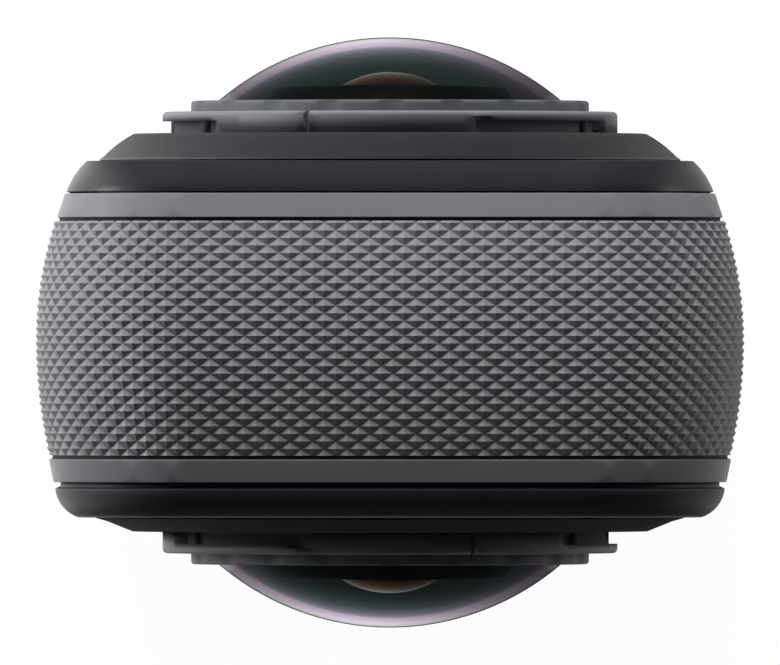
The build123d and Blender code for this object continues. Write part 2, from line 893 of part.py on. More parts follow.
def battery_contacts():
    high = bay_end - bay_wall
    low = high - contact_thickness
    pads = []
    for index in range(contact_count):
        y = battery_middle + (index - (contact_count - 1) / 2) * contact_pitch - contact_width / 2
        pads.append(span_box(low, high, y, y + contact_width, battery_bottom + contact_height,
                             battery_bottom + 2 * contact_height))
    return Compound(pads)


# Memory card

def card_slot_start():
    return card_mouth_setback - inner_half


def card_slot_end():
    inside = card_length - card_stick_out + card_travel + card_gap
    return card_slot_start() + inside + card_slot_wall


def card_slot():
    half_height = card_slot_height / 2
    half_width_z = card_width / 2 + card_gap + card_slot_wall
    start = card_slot_start()
    end = card_slot_end()
    shape = span_box(start, end, -half_height, half_height,
                     card_middle - half_width_z, card_middle + half_width_z)
    hole_y = card_thickness / 2 + running_gap
    hole_z = card_width / 2 + card_gap
    return shape - span_box(start - overrun, end - card_slot_wall, -hole_y, hole_y,
                            card_middle - hole_z, card_middle + hole_z)


def memory_card():
    start = card_slot_start() - card_stick_out
    half = card_width / 2
    return span_box(start, start + card_length, -card_thickness / 2, card_thickness / 2,
                    card_middle - half, card_middle + half)


# Speaker, boards and what stands on them

def speaker_middle():
    return bay_top + speaker_height / 2


def speaker():
    half = speaker_width / 2
    front = bay_front
    shape = span_box(-half, half, front - speaker_depth, front, bay_top, bay_top + speaker_height)
    snout = snout_width / 2
    rise = snout_height / 2
    return shape + span_box(-snout, snout, front, front_inner_plane,
                            speaker_middle() - rise, speaker_middle() + rise)


def main_board():
    half = main_board_width / 2
    return span_box(-half, half, main_board_rear, main_board_front, main_board_bottom, bay_top)


def shield_bottom():
    return (main_board_bottom + bay_top) / 2


def board_shields():
    half = processor_shield_size / 2
    radio = radio_shield_width / 2
    low = shield_bottom()
    high = main_board_front + shield_thickness
    processor = span_box(-half, half, main_board_front, high, low, low + processor_shield_size)
    radio_can = span_box(-radio, radio, main_board_front, high, low - shield_gap - radio_shield_height,
                         low - shield_gap)
    return Compound([processor, radio_can])


def microphone_places():
    reach = main_board_width / 2 - microphone_edge
    return [(-reach, bay_top - microphone_edge), (reach, main_board_bottom + microphone_edge)]


def microphones():
    return Compound([
        rod_y(microphone_radius, main_board_front, main_board_front + microphone_height, x, z)
        for x, z in microphone_places()
    ])


def status_light_place():
    return bay_top - status_light_drop


def status_light():
    return rod_y(status_light_radius, main_board_front, front_plane - status_light_setback,
                 0, status_light_place())


# Screen

def screen_glass():
    face = rounded_face(screen_width, screen_height, screen_corner_radius, screen_middle)
    return prism_y(face, -rear_plane, screen_glass_thickness - rear_plane)


def display_panel():
    width = screen_width - 2 * (screen_ledge + display_gap)
    height = screen_height - 2 * (screen_ledge + display_gap)
    face = rounded_face(width, height, screen_corner_radius, screen_middle)
    return prism_y(face, screen_glass_thickness - rear_plane, -rear_inner_plane)


def display_bracket():
    half = inner_half - running_gap
    plate_end = display_bracket_wall - rear_inner_plane
    shape = span_box(-half, half, -rear_inner_plane, plate_end, screen_bottom, screen_top)
    reach = half - display_rib_inset
    for side in (-1, 1):
        low = side * reach - display_rib_width / 2
        shape += span_box(low, low + display_rib_width, plate_end, bay_rear, screen_bottom, bay_top)
    return shape


# Buttons

def rear_buttons():
    """Name, place across the width and radius of each button under the screen."""
    return {
        "shutter_button": (-rear_button_spread, shutter_radius),
        "lens_switch_button": (rear_button_spread, lens_switch_radius),
    }


def rear_button(x, radius):
    face = -rear_plane - rear_button_proud
    cap = rod_y(radius, face, -rear_inner_plane, x, rear_button_height)
    cap = fillet(cap.edges().group_by(Axis.Y)[0], button_edge_round)
    return cap + rod_y(radius + button_flange, -rear_inner_plane,
                       button_flange_thickness - rear_inner_plane, x, rear_button_height)


def rear_switches():
    half = rear_switch_board_width / 2
    plate_low = bay_rear - rear_switch_board_thickness
    shape = span_box(-half, half, plate_low, bay_rear, rear_switch_board_bottom,
                     bay_bottom + rear_switch_board_lap)
    tip = button_flange_thickness + button_travel + switch_slack - rear_inner_plane
    for x, _ in rear_buttons().values():
        shape += rod_y(switch_radius, tip, plate_low, x, rear_button_height)
    return shape


def side_button(height):
    face = half_width - side_button_setback
    back = inner_half - side_flange_thickness
    cap = crowned_band() & pill_x(side_button_length, side_button_width, inner_half, face, 0, height)
    stem = pill_x(side_button_length, side_button_width, inner_half,
                  half_width - sleeve_wall, 0, height)
    flange = pill_x(side_button_length + 2 * button_flange, side_button_width + 2 * button_flange,
                    back, inner_half, 0, height)
    return cap + stem + flange


def side_switches():
    flange_back = inner_half - side_flange_thickness
    tip = flange_back - button_travel - switch_slack
    plate_high = inner_half - side_switch_board_setback
    plate_low = plate_high - side_switch_board_thickness
    shape = span_box(plate_low, plate_high, -side_switch_board_depth, main_board_rear,
                     quick_button_height - side_switch_board_lap,
                     power_button_height + side_switch_board_lap)
    for height in (power_button_height, quick_button_height):
        shape += span_box(plate_high, tip, -switch_radius, switch_radius,
                          height - switch_radius, height + switch_radius)
    return shape


# USB port, door and hinge

def usb_port():
    mouth = inner_half + port_mouth_setback
    back = mouth - port_depth
    shape = pill_x(port_length, port_width, back, mouth, 0, port_height)
    shape -= pill_x(port_length - 2 * port_shell_wall, port_width - 2 * port_shell_wall,
                    back + port_shell_wall, mouth + overrun, 0, port_height)
    half = port_tongue_width / 2
    shape += span_box(back, mouth - port_shell_wall, -half, half,
                      port_height - port_tongue_length / 2, port_height + port_tongue_length / 2)
    foot_face = port_width / 2 - port_shell_wall / 2
    shape += span_box(back, back + port_foot_depth, foot_face, main_board_rear,
                      port_height - port_foot_length / 2, port_height + port_foot_length / 2)
    return shape


def usb_hinge_pin():
    return hinge_rod(hinge_pin_radius, hinge_pin_reach)


def usb_door():
    inner_face = half_width - door_inner_setback
    plate = span_box(inner_face, half_width, -door_half_width, door_half_width,
                     hinge_height, door_top_height)
    knuckle = hinge_rod(hinge_knuckle_radius, 0)
    shape = crowned_band() & (plate + knuckle)
    shape += knuckle & span_box(hinge_x - hinge_knuckle_radius, half_width - sleeve_wall,
                                -door_half_width, door_half_width,
                                hinge_height - hinge_knuckle_radius,
                                hinge_height + hinge_knuckle_radius)
    shape -= hinge_rod(hinge_pin_radius + door_bore_gap, overrun)
    notch_x = half_width + door_notch_radius - door_notch_depth
    return shape - rod_y(door_notch_radius, -door_half_width, door_half_width, notch_x, door_top_height)


def usb_door_seal():
    face = half_width - door_inner_setback
    low = face - port_seal_depth
    shape = pill_x(port_seal_length, port_seal_width, low, face, 0, port_height)
    return shape - pill_x(port_seal_length - 2 * port_seal_wall, port_seal_width - 2 * port_seal_wall,
                          low - overrun, face - port_seal_wall, 0, port_height)


# Base

def base_screw_places():
    return [(x, base_plate_middle + y) for x in (-base_screw_spread, base_screw_spread)
            for y in (-base_screw_depth_spread, base_screw_depth_spread)]


def base_plate():
    shape = base_plate_block(0, base_plate_thickness)
    shape -= rod_z(insert_radius + insert_gap, 0, base_plate_thickness, 0, 0)
    for x, y in base_screw_places():
        shape -= rod_z(base_screw_head_radius, 0, base_screw_head_height, x, y)
        shape -= rod_z(base_screw_radius, 0, base_plate_thickness, x, y)
    return shape


def base_screws():
    return Compound([
        rod_z(base_screw_head_radius, 0, base_screw_head_height, x, y)
        + rod_z(base_screw_radius, base_screw_head_height, base_screw_length, x, y)
        for x, y in base_screw_places()
    ])


def base_magnets():
    low = base_plate_thickness
    high = base_plate_thickness + magnet_thickness
    return Compound([rod_z(magnet_radius, low, high, side * magnet_spread, 0) for side in (-1, 1)])


def tripod_insert():
    shape = rod_z(insert_radius, 0, insert_height, 0, 0)
    shape += rod_z(insert_flange_radius, inner_floor, inner_floor + insert_flange_thickness, 0, 0)
    return shape - rod_z(thread_radius, 0, thread_depth, 0, 0)


# Every piece by its name

parts = {
    "grip_sleeve": grip_sleeve(),
    "centre_frame": centre_frame(),
    "front_cover": front_cover(),
    "front_trim_band": trim_band(front_trim_start, front_frame_end,
                                 front_trim_low_inset, front_trim_high_inset),
    "front_seal": trim_band(sleeve_front, front_trim_start, front_seal_inset, front_seal_inset),
    "rear_seal": trim_band(-rear_trim_start, -sleeve_rear, rear_seal_inset, rear_seal_inset),
    "rear_trim_band": trim_band(-rear_frame_end, -rear_trim_start,
                                rear_trim_high_inset, rear_trim_low_inset),
    "rear_bezel": rear_bezel(),
    "front_lens_surround": lens_surround(front_inner_plane, front_plane, front_boss_plane,
                                         front_boss_radius, front_boss_top_radius, front_boss_bulge),
    "rear_lens_surround": to_rear(lens_surround(rear_inner_plane, rear_plane, rear_boss_plane,
                                                rear_boss_radius, rear_boss_top_radius,
                                                rear_boss_bulge)),
    "heat_spreader": heat_spreader(),
    "lens_chassis": lens_chassis(),
    "battery_bay": battery_bay(),
    "battery_pack": battery_pack(),
    "battery_cover": battery_cover(),
    "battery_cover_seal": battery_cover_seal(),
    "battery_latch": battery_latch(),
    "battery_contacts": battery_contacts(),
    "card_slot": card_slot(),
    "memory_card": memory_card(),
    "speaker": speaker(),
    "main_board": main_board(),
    "board_shields": board_shields(),
    "microphones": microphones(),
    "status_light": status_light(),
    "screen_glass": screen_glass(),
    "display_panel": display_panel(),
    "display_bracket": display_bracket(),
    "rear_switches": rear_switches(),
    "side_switches": side_switches(),
    "power_button": side_button(power_button_height),
    "quick_button": side_button(quick_button_height),
    "usb_port": usb_port(),
    "usb_hinge_pin": usb_hinge_pin(),
    "usb_door": usb_door(),
    "usb_door_seal": usb_door_seal(),
    "base_plate": base_plate(),
    "base_screws": base_screws(),
    "base_magnets": base_magnets(),
    "tripod_insert": tripod_insert(),
}

for name, (x, radius) in rear_buttons().items():
    parts[name] = rear_button(x, radius)

lens_sides = {
    "front": (front_inner_plane, front_boss_plane, lambda shape: shape),
    "rear": (rear_inner_plane, rear_boss_plane, to_rear),
}
pairs = {name: [] for name in ("relay_lenses", "lens_seals", "lens_screws", "image_sensors",
                               "sensor_boards")}
for side, (inner, boss_plane, place) in lens_sides.items():
    parts[side + "_bayonet_ring"] = place(bayonet_ring(boss_plane))
    parts[side + "_lens_retainer"] = place(lens_retainer(boss_plane))
    parts[side + "_dome_glass"] = place(dome_glass(boss_plane))
    parts[side + "_inner_lens"] = place(inner_lens(boss_plane))
    parts[side + "_lens_barrel"] = place(lens_barrel(inner, boss_plane))
    parts[side + "_lens_carrier"] = place(lens_carrier(inner))
    pairs["relay_lenses"].append(place(relay_lens(boss_plane)))
    pairs["lens_seals"].append(place(lens_seal(boss_plane)))
    pairs["lens_screws"] += [place(screw) for screw in lens_screws(inner)]
    pairs["image_sensors"].append(place(image_sensor()))
    pairs["sensor_boards"].append(place(sensor_board()))
for name, shapes in pairs.items():
    parts[name] = Compound(shapes)

for name, shape in parts.items():
    export_step(shape, f"parts/{name}.step")
    print(name, round(shape.volume, 1), "mm3")
print(len(parts), "pieces")
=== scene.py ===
# %% [markdown]
# # A 360 degree camera
# This lesson dresses a slim action camera that has a domed lens on its front and on its rear.
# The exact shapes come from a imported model, the frame. What is made here is everything that
# the eye adds to them: the diamond grip, the glass, the softened edges and the finishes.

# %% Load the frame
import json
import math

import bmesh
import bpy
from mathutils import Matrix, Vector

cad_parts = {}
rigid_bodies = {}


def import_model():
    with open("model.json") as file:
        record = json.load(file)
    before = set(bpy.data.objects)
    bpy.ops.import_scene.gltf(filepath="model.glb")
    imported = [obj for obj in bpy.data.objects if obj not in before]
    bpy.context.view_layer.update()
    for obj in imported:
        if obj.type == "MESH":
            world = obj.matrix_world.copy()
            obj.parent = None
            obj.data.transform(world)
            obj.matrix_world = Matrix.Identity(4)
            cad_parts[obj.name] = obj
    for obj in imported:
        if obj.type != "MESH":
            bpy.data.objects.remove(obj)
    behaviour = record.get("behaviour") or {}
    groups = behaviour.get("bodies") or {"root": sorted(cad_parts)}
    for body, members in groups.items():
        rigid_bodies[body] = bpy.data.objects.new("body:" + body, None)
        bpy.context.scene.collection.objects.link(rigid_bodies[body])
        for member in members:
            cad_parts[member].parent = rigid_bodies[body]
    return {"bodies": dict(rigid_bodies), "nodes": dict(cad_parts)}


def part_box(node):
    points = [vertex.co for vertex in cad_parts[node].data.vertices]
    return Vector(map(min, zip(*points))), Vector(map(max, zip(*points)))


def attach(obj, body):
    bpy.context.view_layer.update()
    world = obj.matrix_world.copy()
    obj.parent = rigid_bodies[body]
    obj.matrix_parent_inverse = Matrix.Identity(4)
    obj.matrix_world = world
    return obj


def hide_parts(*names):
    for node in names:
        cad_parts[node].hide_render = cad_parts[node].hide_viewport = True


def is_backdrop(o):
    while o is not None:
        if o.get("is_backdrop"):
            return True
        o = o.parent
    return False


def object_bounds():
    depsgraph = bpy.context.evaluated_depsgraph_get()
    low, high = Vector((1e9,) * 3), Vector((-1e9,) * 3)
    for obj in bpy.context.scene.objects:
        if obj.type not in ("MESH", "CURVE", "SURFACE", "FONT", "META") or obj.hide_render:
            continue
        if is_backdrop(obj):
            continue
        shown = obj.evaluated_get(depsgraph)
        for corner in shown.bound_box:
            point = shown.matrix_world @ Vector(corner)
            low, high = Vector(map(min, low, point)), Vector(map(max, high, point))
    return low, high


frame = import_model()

nodes = frame["nodes"]
print(len(nodes), "pieces in the frame")

# %% [markdown]
# A new file may hold objects of its own, such as the cube that Blender starts with. They go
# first, because they'd count as part of the camera. Then the box of the whole model is kept
# and printed, and the dressed camera's box is printed at the end. Small products are easiest
# to think about in millimetres, while Blender works in metres, so one name for the unit keeps
# the two apart.

# %% Clear what isn't the camera and keep its size
MM = 0.001

kept = set(nodes.values()) | set(frame["bodies"].values())
for leftover in [thing for thing in bpy.data.objects if thing not in kept]:
    bpy.data.objects.remove(leftover)
cad_low, cad_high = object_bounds()
print("camera size in mm", [round(side / MM, 2) for side in cad_high - cad_low])

# %% [markdown]
# The places that everything else refers to are measured from the frame, so they follow it
# when it changes.

# %% Places
FULL_TURN = math.radians(360)

dome_low, dome_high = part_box("front_dome_glass")
lens_axis_height = (dome_low.z + dome_high.z) / 2
sleeve_low, sleeve_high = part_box("grip_sleeve")
body_top = cad_high.z
half_width = sleeve_high.x
print("lens axis", round(lens_axis_height / MM, 2), "mm up, half width", round(half_width / MM, 2))

# %% [markdown]
# ## Camera
# The product is seen straight down on its short top end, with the front lens at the top of
# the picture. Close up, a normal lens would make the near end look far too big. A long lens
# from two metres away gives the calm, almost parallel view of a catalogue. The view's width
# holds at the height where the body is widest. Blender wants a sensor's width in millimetres,
# whatever unit the scene has.

# %% Camera
VIEW_WIDTH = 50.53 * MM
VIEW_DISTANCE = 2000 * MM
WIDEST_HEIGHT = 114.5 * MM
SENSOR_WIDTH = 36


def new_object(name, data):
    """Object with its data, in the scene."""
    made = bpy.data.objects.new(name, data)
    bpy.context.scene.collection.objects.link(made)
    return made


camera_data = bpy.data.cameras.new("catalogue_camera")
camera_data.sensor_width = SENSOR_WIDTH
camera_data.lens = SENSOR_WIDTH * VIEW_DISTANCE / VIEW_WIDTH
camera = new_object("catalogue_camera", camera_data)
camera.location = (0, 0, WIDEST_HEIGHT + VIEW_DISTANCE)
bpy.context.scene.camera = camera
bpy.context.scene.view_settings.view_transform = "Standard"
print("lens", round(camera_data.lens), "mm")

# %% [markdown]
# ## Light
# The picture was lit by a large softbox low behind the front lens, which skims over the top
# and picks out one side of every small diamond, and by strips to the left and right that
# give the ends a rim of light. An area lamp lights a surface that faces it with its power
# over pi times the distance squared. So a lamp of level 1 shows a surface in its own colour.
# No lamp shows through the glass, and the large one isn't mirrored: the surroundings below
# are what shiny surfaces reflect. Each lamp has a direction, a level and a width.

# %% Softboxes
LAMP_DISTANCE = 1000 * MM
KEY_WIDTH = 500 * MM
STRIP_WIDTH = 400 * MM
softboxes = {
    "key_softbox": ((-0.20, 0.92, 0.34), 0.95, KEY_WIDTH),
    "left_strip": ((-1.0, 0.30, 0.06), 0.32, STRIP_WIDTH),
    "right_strip": ((1.0, 0.30, 0.06), 0.12, STRIP_WIDTH),
}


def add_softbox(name, direction, level, width):
    """Square area lamp that looks at the camera's upper half."""
    lamp_data = bpy.data.lights.new(name, "AREA")
    lamp_data.energy = level * math.pi ** 2 * LAMP_DISTANCE ** 2
    lamp_data.size = width
    lamp = new_object(name, lamp_data)
    aim = Vector((0, 0, lens_axis_height))
    outwards = Vector(direction)
    lamp.location = aim + outwards.normalized() * LAMP_DISTANCE
    lamp.rotation_euler = outwards.to_track_quat("Z", "Y").to_euler()
    return lamp


for name, (direction, level, width) in softboxes.items():
    lamp = add_softbox(name, direction, level, width)
    lamp.visible_transmission = False
    lamp.visible_glossy = name != "key_softbox"
print(len(softboxes), "softboxes")

# %% [markdown]
# A catalogue picture has a pure white ground. Turning the lamps up until the floor burns out
# would bleach the product too. Instead the surroundings look white to the rays that come
# straight from the camera and stay dim for everything else. Blender's Light Path node tells
# what a ray has met so far. It counts whole bounces, so half a bounce parts none from one.

# %% Nodes and kinds of rays
HALF_A_BOUNCE = 0.5


def add_node(tree, kind, **settings):
    """New node with its settings; a name that starts with in_ sets that input socket."""
    node = tree.nodes.new(kind)
    for name, value in settings.items():
        if name.startswith("in_"):
            node.inputs[name.removeprefix("in_").replace("_", " ")].default_value = value
        else:
            setattr(node, name, value)
    return node


def add_math(tree, operation, first, second):
    """Math node between two sockets or numbers; returns its result socket."""
    node = tree.nodes.new("ShaderNodeMath")
    node.operation = operation
    for index, value in enumerate((first, second)):
        if isinstance(value, (int, float)):
            node.inputs[index].default_value = value
        else:
            tree.links.new(value, node.inputs[index])
    return node.outputs[0]


def add_fade(tree, value, levels, between=(0.0, 1.0)):
    """Socket that goes from a first to a last level while a value goes between two limits."""
    fade = add_node(tree, "ShaderNodeMapRange", in_From_Min=between[0], in_From_Max=between[1],
                    in_To_Min=levels[0], in_To_Max=levels[1])
    tree.links.new(value, fade.inputs["Value"])
    return fade.outputs[0]


def split_vector(tree, vector):
    """Sockets X, Y and Z of a vector, by name."""
    split = add_node(tree, "ShaderNodeSeparateXYZ")
    tree.links.new(vector, split.inputs[0])
    return split.outputs


def ray_kinds(tree):
    """Sockets that are 1 for rays from the camera, through glass, and off a shiny surface."""
    rays = add_node(tree, "ShaderNodeLightPath")
    no_matt = add_math(tree, "LESS_THAN", rays.outputs["Diffuse Depth"], HALF_A_BOUNCE)
    mirrored = add_math(tree, "GREATER_THAN", rays.outputs["Glossy Depth"], HALF_A_BOUNCE)
    glass = add_math(tree, "MULTIPLY", rays.outputs["Is Transmission Ray"], no_matt)
    clear = add_math(tree, "SUBTRACT", glass, add_math(tree, "MULTIPLY", glass, mirrored))
    sheen = add_math(tree, "MULTIPLY", rays.outputs["Is Glossy Ray"], no_matt)
    shiny = add_math(tree, "MULTIPLY", sheen, mirrored)
    return rays.outputs["Is Camera Ray"], clear, shiny


def level_by_kind(tree, kinds, levels):
    """Sum of each kind of ray times the level that it sees."""
    total = 0.0
    for kind, level in zip(kinds, levels):
        total = add_math(tree, "ADD", total, add_math(tree, "MULTIPLY", kind, level))
    return total


print("node helpers ready")

# %% [markdown]
# Shiny surfaces see a bright horizon and a dark ceiling, as they would in a studio, and the
# horizon is brightest where the softbox stands, in front. A pale wall far to the left shows
# as a broad sheen on the left ends of the dark shells. Through the glass the ground is dim as
# well: a real dome is so thick that it turns the view into its own black barrel. The places
# where a brightness starts and ends are parts of a direction's length: 0 is level, and 1 is
# straight up, to the front or to the side.

# %% Surroundings
GROUND_LEVEL = 1.0
AMBIENT_LEVEL = 0.04
HORIZON_LEVEL = 0.25
HORIZON_END = 0.1
CEILING_START = 0.6
REAR_SHARE = 0.60
REAR_END = -0.2
FRONT_START = 0.5
THROUGH_GLASS_LEVEL = 0.02
WALL_LEVEL = 0.7
SIDE_START = 0.60
SIDE_FULL = 0.76


def lit_side(tree, across, side, side_level):
    """Level towards one side, -1 for left and 1 for right, that fades in with the heading."""
    return add_fade(tree, across, (0.0, side_level), (side * SIDE_START, side * SIDE_FULL))


world = bpy.data.worlds.new("white_studio")
bpy.context.scene.world = world
world.use_nodes = True
tree = world.node_tree
background = tree.nodes["Background"]
kinds = ray_kinds(tree)
direction = split_vector(tree, add_node(tree, "ShaderNodeTexCoord").outputs["Generated"])
ceiling = add_fade(tree, direction["Z"], (HORIZON_LEVEL, AMBIENT_LEVEL), (HORIZON_END, CEILING_START))
front = add_fade(tree, direction["Y"], (REAR_SHARE, 1.0), (REAR_END, FRONT_START))
mirrored = add_math(tree, "MULTIPLY", ceiling, front)
mirrored = add_math(tree, "ADD", mirrored, lit_side(tree, direction["X"], -1, WALL_LEVEL))
matt_ray = add_math(tree, "SUBTRACT", 1.0, level_by_kind(tree, kinds, (1, 1, 1)))
levels = (GROUND_LEVEL, THROUGH_GLASS_LEVEL, mirrored, AMBIENT_LEVEL)
level = level_by_kind(tree, (*kinds, matt_ray), levels)
tree.links.new(level, background.inputs["Strength"])
background.inputs["Color"].default_value = (1, 1, 1, 1)
print("white surroundings")

# %% [markdown]
# The floor is a large pale sheet under the base. Its paint is matt and nearly white, so that
# the camera still drops a faint shadow on it.

# %% Floor sheet and its paint
FLOOR_SIZE = 6000 * MM
FLOOR_WHITE = (0.9, 0.9, 0.9, 1)
FLOOR_ROUGHNESS = 0.9


def object_from_shape(name, shape):
    """Object with a mesh that is written from a bmesh."""
    mesh = bpy.data.meshes.new(name)
    shape.to_mesh(mesh)
    shape.free()
    return new_object(name, mesh)


sheet = bmesh.new()
bmesh.ops.create_grid(sheet, x_segments=1, y_segments=1, size=FLOOR_SIZE / 2)
floor = object_from_shape("studio_floor", sheet)
floor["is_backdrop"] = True

floor_paint = bpy.data.materials.new("white_floor")
floor_paint.use_nodes = True
matt = floor_paint.node_tree.nodes["Principled BSDF"]
matt.inputs["Base Color"].default_value = FLOOR_WHITE
matt.inputs["Roughness"].default_value = FLOOR_ROUGHNESS
floor.data.materials.append(floor_paint)
print("floor at", floor.location.z)

# %% [markdown]
# A shiny surface that looks steeply down sees the lit sheet, and one that looks far across it
# sees only the dark room behind, so the mirrored floor fades with the angle. Straight below,
# where the camera shades the ground, the mirrored floor fades to black: this is painted shade,
# and it gives the glass a dark outline against white. The floor is brightest in front and
# behind and far out to both sides, with dimmer parts between, so the domes mirror less light
# at their flanks and the ends of the shells have a sheen.

# %% What shiny surfaces see in the floor
MIRRORED_LEVEL = 1.55
MIRRORED_FALL = 5.0
# where steep rays start and stop seeing the painted shade under the camera
SHADE_BELOW_START = 0.975
SHADE_BELOW_FULL = 0.990
MIDDLE_HEADING = -0.10
MIDDLE_SPREAD = 0.40
LEFT_SIDE_LEVEL = 1.7
RIGHT_SIDE_LEVEL = 0.75


def add_vector_math(tree, operation, vector, second=(1, 1, 1)):
    """Vector Math node between a socket and a fixed vector; returns its result socket."""
    node = add_node(tree, "ShaderNodeVectorMath", operation=operation)
    tree.links.new(vector, node.inputs[0])
    node.inputs[1].default_value = second
    return node.outputs["Value" if operation == "LENGTH" else "Vector"]


tree = floor_paint.node_tree
kinds = ray_kinds(tree)
incoming = add_node(tree, "ShaderNodeNewGeometry").outputs["Incoming"]
steepness = split_vector(tree, incoming)["Z"]
steep = add_math(tree, "POWER", steepness, MIRRORED_FALL)
# painted shade: straight below, under the camera, the mirrored floor fades to black
painted_shade_below = add_fade(tree, steepness, (1.0, 0.0), (SHADE_BELOW_START, SHADE_BELOW_FULL))
level_heading = add_vector_math(tree, "MULTIPLY", incoming, (1, 1, 0))
heading = split_vector(tree, add_vector_math(tree, "NORMALIZE", level_heading))
off_middle = add_math(tree, "ADD", heading["X"], MIDDLE_HEADING)
off_middle = add_math(tree, "DIVIDE", off_middle, MIDDLE_SPREAD)
off_middle_squared = add_math(tree, "MULTIPLY", off_middle, off_middle)
near_middle = add_math(tree, "POWER", math.exp(-1), off_middle_squared)
mirrored = add_math(tree, "MULTIPLY", steep, MIRRORED_LEVEL)
mirrored = add_math(tree, "MULTIPLY", mirrored, near_middle)
across = add_math(tree, "MULTIPLY", heading["X"], -1.0)
for side, side_level in ((-1, LEFT_SIDE_LEVEL), (1, RIGHT_SIDE_LEVEL)):
    mirrored = add_math(tree, "ADD", mirrored, lit_side(tree, across, side, side_level))
mirrored = add_math(tree, "MULTIPLY", mirrored, painted_shade_below)
print("mirrored floor ready")

# %% [markdown]
# The white that the camera sees, the dim view through glass and the mirrored level make one
# glowing surface. It covers all but a small share of the matt paint, which takes the shadow.

# %% Glow over the paint
SHADOW_SHARE = 0.12
GLOW_LEVEL = 1.10

glow = add_node(tree, "ShaderNodeEmission")
level = level_by_kind(tree, kinds, (GLOW_LEVEL, THROUGH_GLASS_LEVEL, mirrored))
tree.links.new(level, glow.inputs["Strength"])
blend = add_node(tree, "ShaderNodeMixShader")
seen = level_by_kind(tree, kinds, (1, 1, 1))
tree.links.new(add_math(tree, "MULTIPLY", seen, 1 - SHADOW_SHARE), blend.inputs["Fac"])
tree.links.new(matt.outputs[0], blend.inputs[1])
tree.links.new(glow.outputs[0], blend.inputs[2])
tree.links.new(blend.outputs[0], tree.nodes["Material Output"].inputs["Surface"])
print("floor light made")

# %% [markdown]
# ## Finishes
# A flat colour looks like plastic film. Each real finish here has something fine in it: spray
# paint has grain, moulded plastic has a spark-eroded skin, turned metal has rings. Every
# finish starts from one shader and is kept under its name, and small helpers add what that
# surface has. The patterns read the object's own coordinates in millimetres, so they sit
# still on the piece. Colours are given as a picture editor shows them, from 0 to 255.

# %% Start of a finish
finishes = {}


def srgb(red, green, blue):
    """Colour from 0 to 255, as a picture editor shows it, in the linear values of the shader."""
    channels = []
    for channel in (red, green, blue):
        share = channel / 255
        channels.append(share / 12.92 if share < 0.04045 else ((share + 0.055) / 1.055) ** 2.4)
    return (*channels, 1.0)


def shader_input(finish, name):
    """Socket of a finish's own shader."""
    return finish.node_tree.nodes["Principled BSDF"].inputs[name]


def new_finish(name, colour, roughness, **sockets):
    """Material with one Principled shader; a name such as Coat_Weight sets that socket."""
    finish = bpy.data.materials.new(name)
    finish.use_nodes = True
    shader_input(finish, "Base Color").default_value = srgb(*colour)
    shader_input(finish, "Roughness").default_value = roughness
    for socket, value in sockets.items():
        shader_input(finish, socket.replace("_", " ")).default_value = value
    finishes[name] = finish
    return finish


def pattern_place(tree, size, centre=(0, 0, 0)):
    """Object coordinates around a centre, where one unit is a pattern's size."""
    where = add_node(tree, "ShaderNodeTexCoord")
    scale = add_node(tree, "ShaderNodeMapping", vector_type="POINT")
    scale.inputs["Scale"].default_value = (1 / size, 1 / size, 1 / size)
    scale.inputs["Location"].default_value = [-middle / size for middle in centre]
    tree.links.new(where.outputs["Object"], scale.inputs["Vector"])
    return scale.outputs[0]


def add_pattern(tree, kind, size, centre=(0, 0, 0), **settings):
    """Outputs of a texture node whose pattern has a size and lies around a centre."""
    pattern = add_node(tree, kind, in_Scale=1.0, **settings)
    tree.links.new(pattern_place(tree, size, centre), pattern.inputs["Vector"])
    return pattern.outputs


def add_noise(tree, size, detail=2.0):
    """Soft noise with patches of a size."""
    return add_pattern(tree, "ShaderNodeTexNoise", size, in_Detail=detail)[0]


print("finish helpers ready")

# %% [markdown]
# Three helpers cover most surfaces. Mottle drifts the colour a little, as paint and anodising
# do over a part. Grain adds fine bumps and varies the gloss. Rings are the fine turned marks
# round the lens axis that a lathe leaves. The Mix node takes its two colours in sockets 6 and
# 7 and gives their blend in output 2, and the Wave texture repeats three times in a unit.

# %% What a finish can have
FIRST_COLOUR = 6
SECOND_COLOUR = 7
BLENDED_COLOUR = 2
WAVES_PER_UNIT = 3
GLOSS_SPREAD = 0.06


def blend_colour(finish, share, second, first=None):
    """Go to a second colour by a share, from a first one or from what the finish has."""
    tree = finish.node_tree
    base = shader_input(finish, "Base Color")
    mix = add_node(tree, "ShaderNodeMix", data_type="RGBA")
    tree.links.new(share, mix.inputs[0])
    mix.inputs[SECOND_COLOUR].default_value = second
    if first is None:
        tree.links.new(base.links[0].from_socket, mix.inputs[FIRST_COLOUR])
    else:
        mix.inputs[FIRST_COLOUR].default_value = first
    tree.links.new(mix.outputs[BLENDED_COLOUR], base)


def add_mottle(finish, spread, size):
    """Colour that drifts lighter and darker by a share over patches of a size."""
    colour = list(shader_input(finish, "Base Color").default_value)[:3]
    darker = [channel * (1 - spread) for channel in colour]
    lighter = [min(channel * (1 + spread), 1) for channel in colour]
    noise = add_noise(finish.node_tree, size, detail=3.0)
    blend_colour(finish, noise, (*lighter, 1), (*darker, 1))


def add_bump(finish, height_socket, height):
    """Bump of a real height, laid over any bump that the finish already has."""
    tree = finish.node_tree
    normal = shader_input(finish, "Normal")
    bump = add_node(tree, "ShaderNodeBump", in_Distance=height, in_Strength=1.0)
    if normal.is_linked:
        tree.links.new(normal.links[0].from_socket, bump.inputs["Normal"])
    tree.links.new(height_socket, bump.inputs["Height"])
    tree.links.new(bump.outputs[0], normal)


def add_grain(finish, size, height):
    """Fine bumps of a size and height, with the gloss varying over them."""
    tree = finish.node_tree
    roughness = shader_input(finish, "Roughness")
    middle = roughness.default_value
    noise = add_noise(tree, size)
    levels = (max(middle - GLOSS_SPREAD, 0), min(middle + GLOSS_SPREAD, 1))
    tree.links.new(add_fade(tree, noise, levels), roughness)
    add_bump(finish, noise, height)


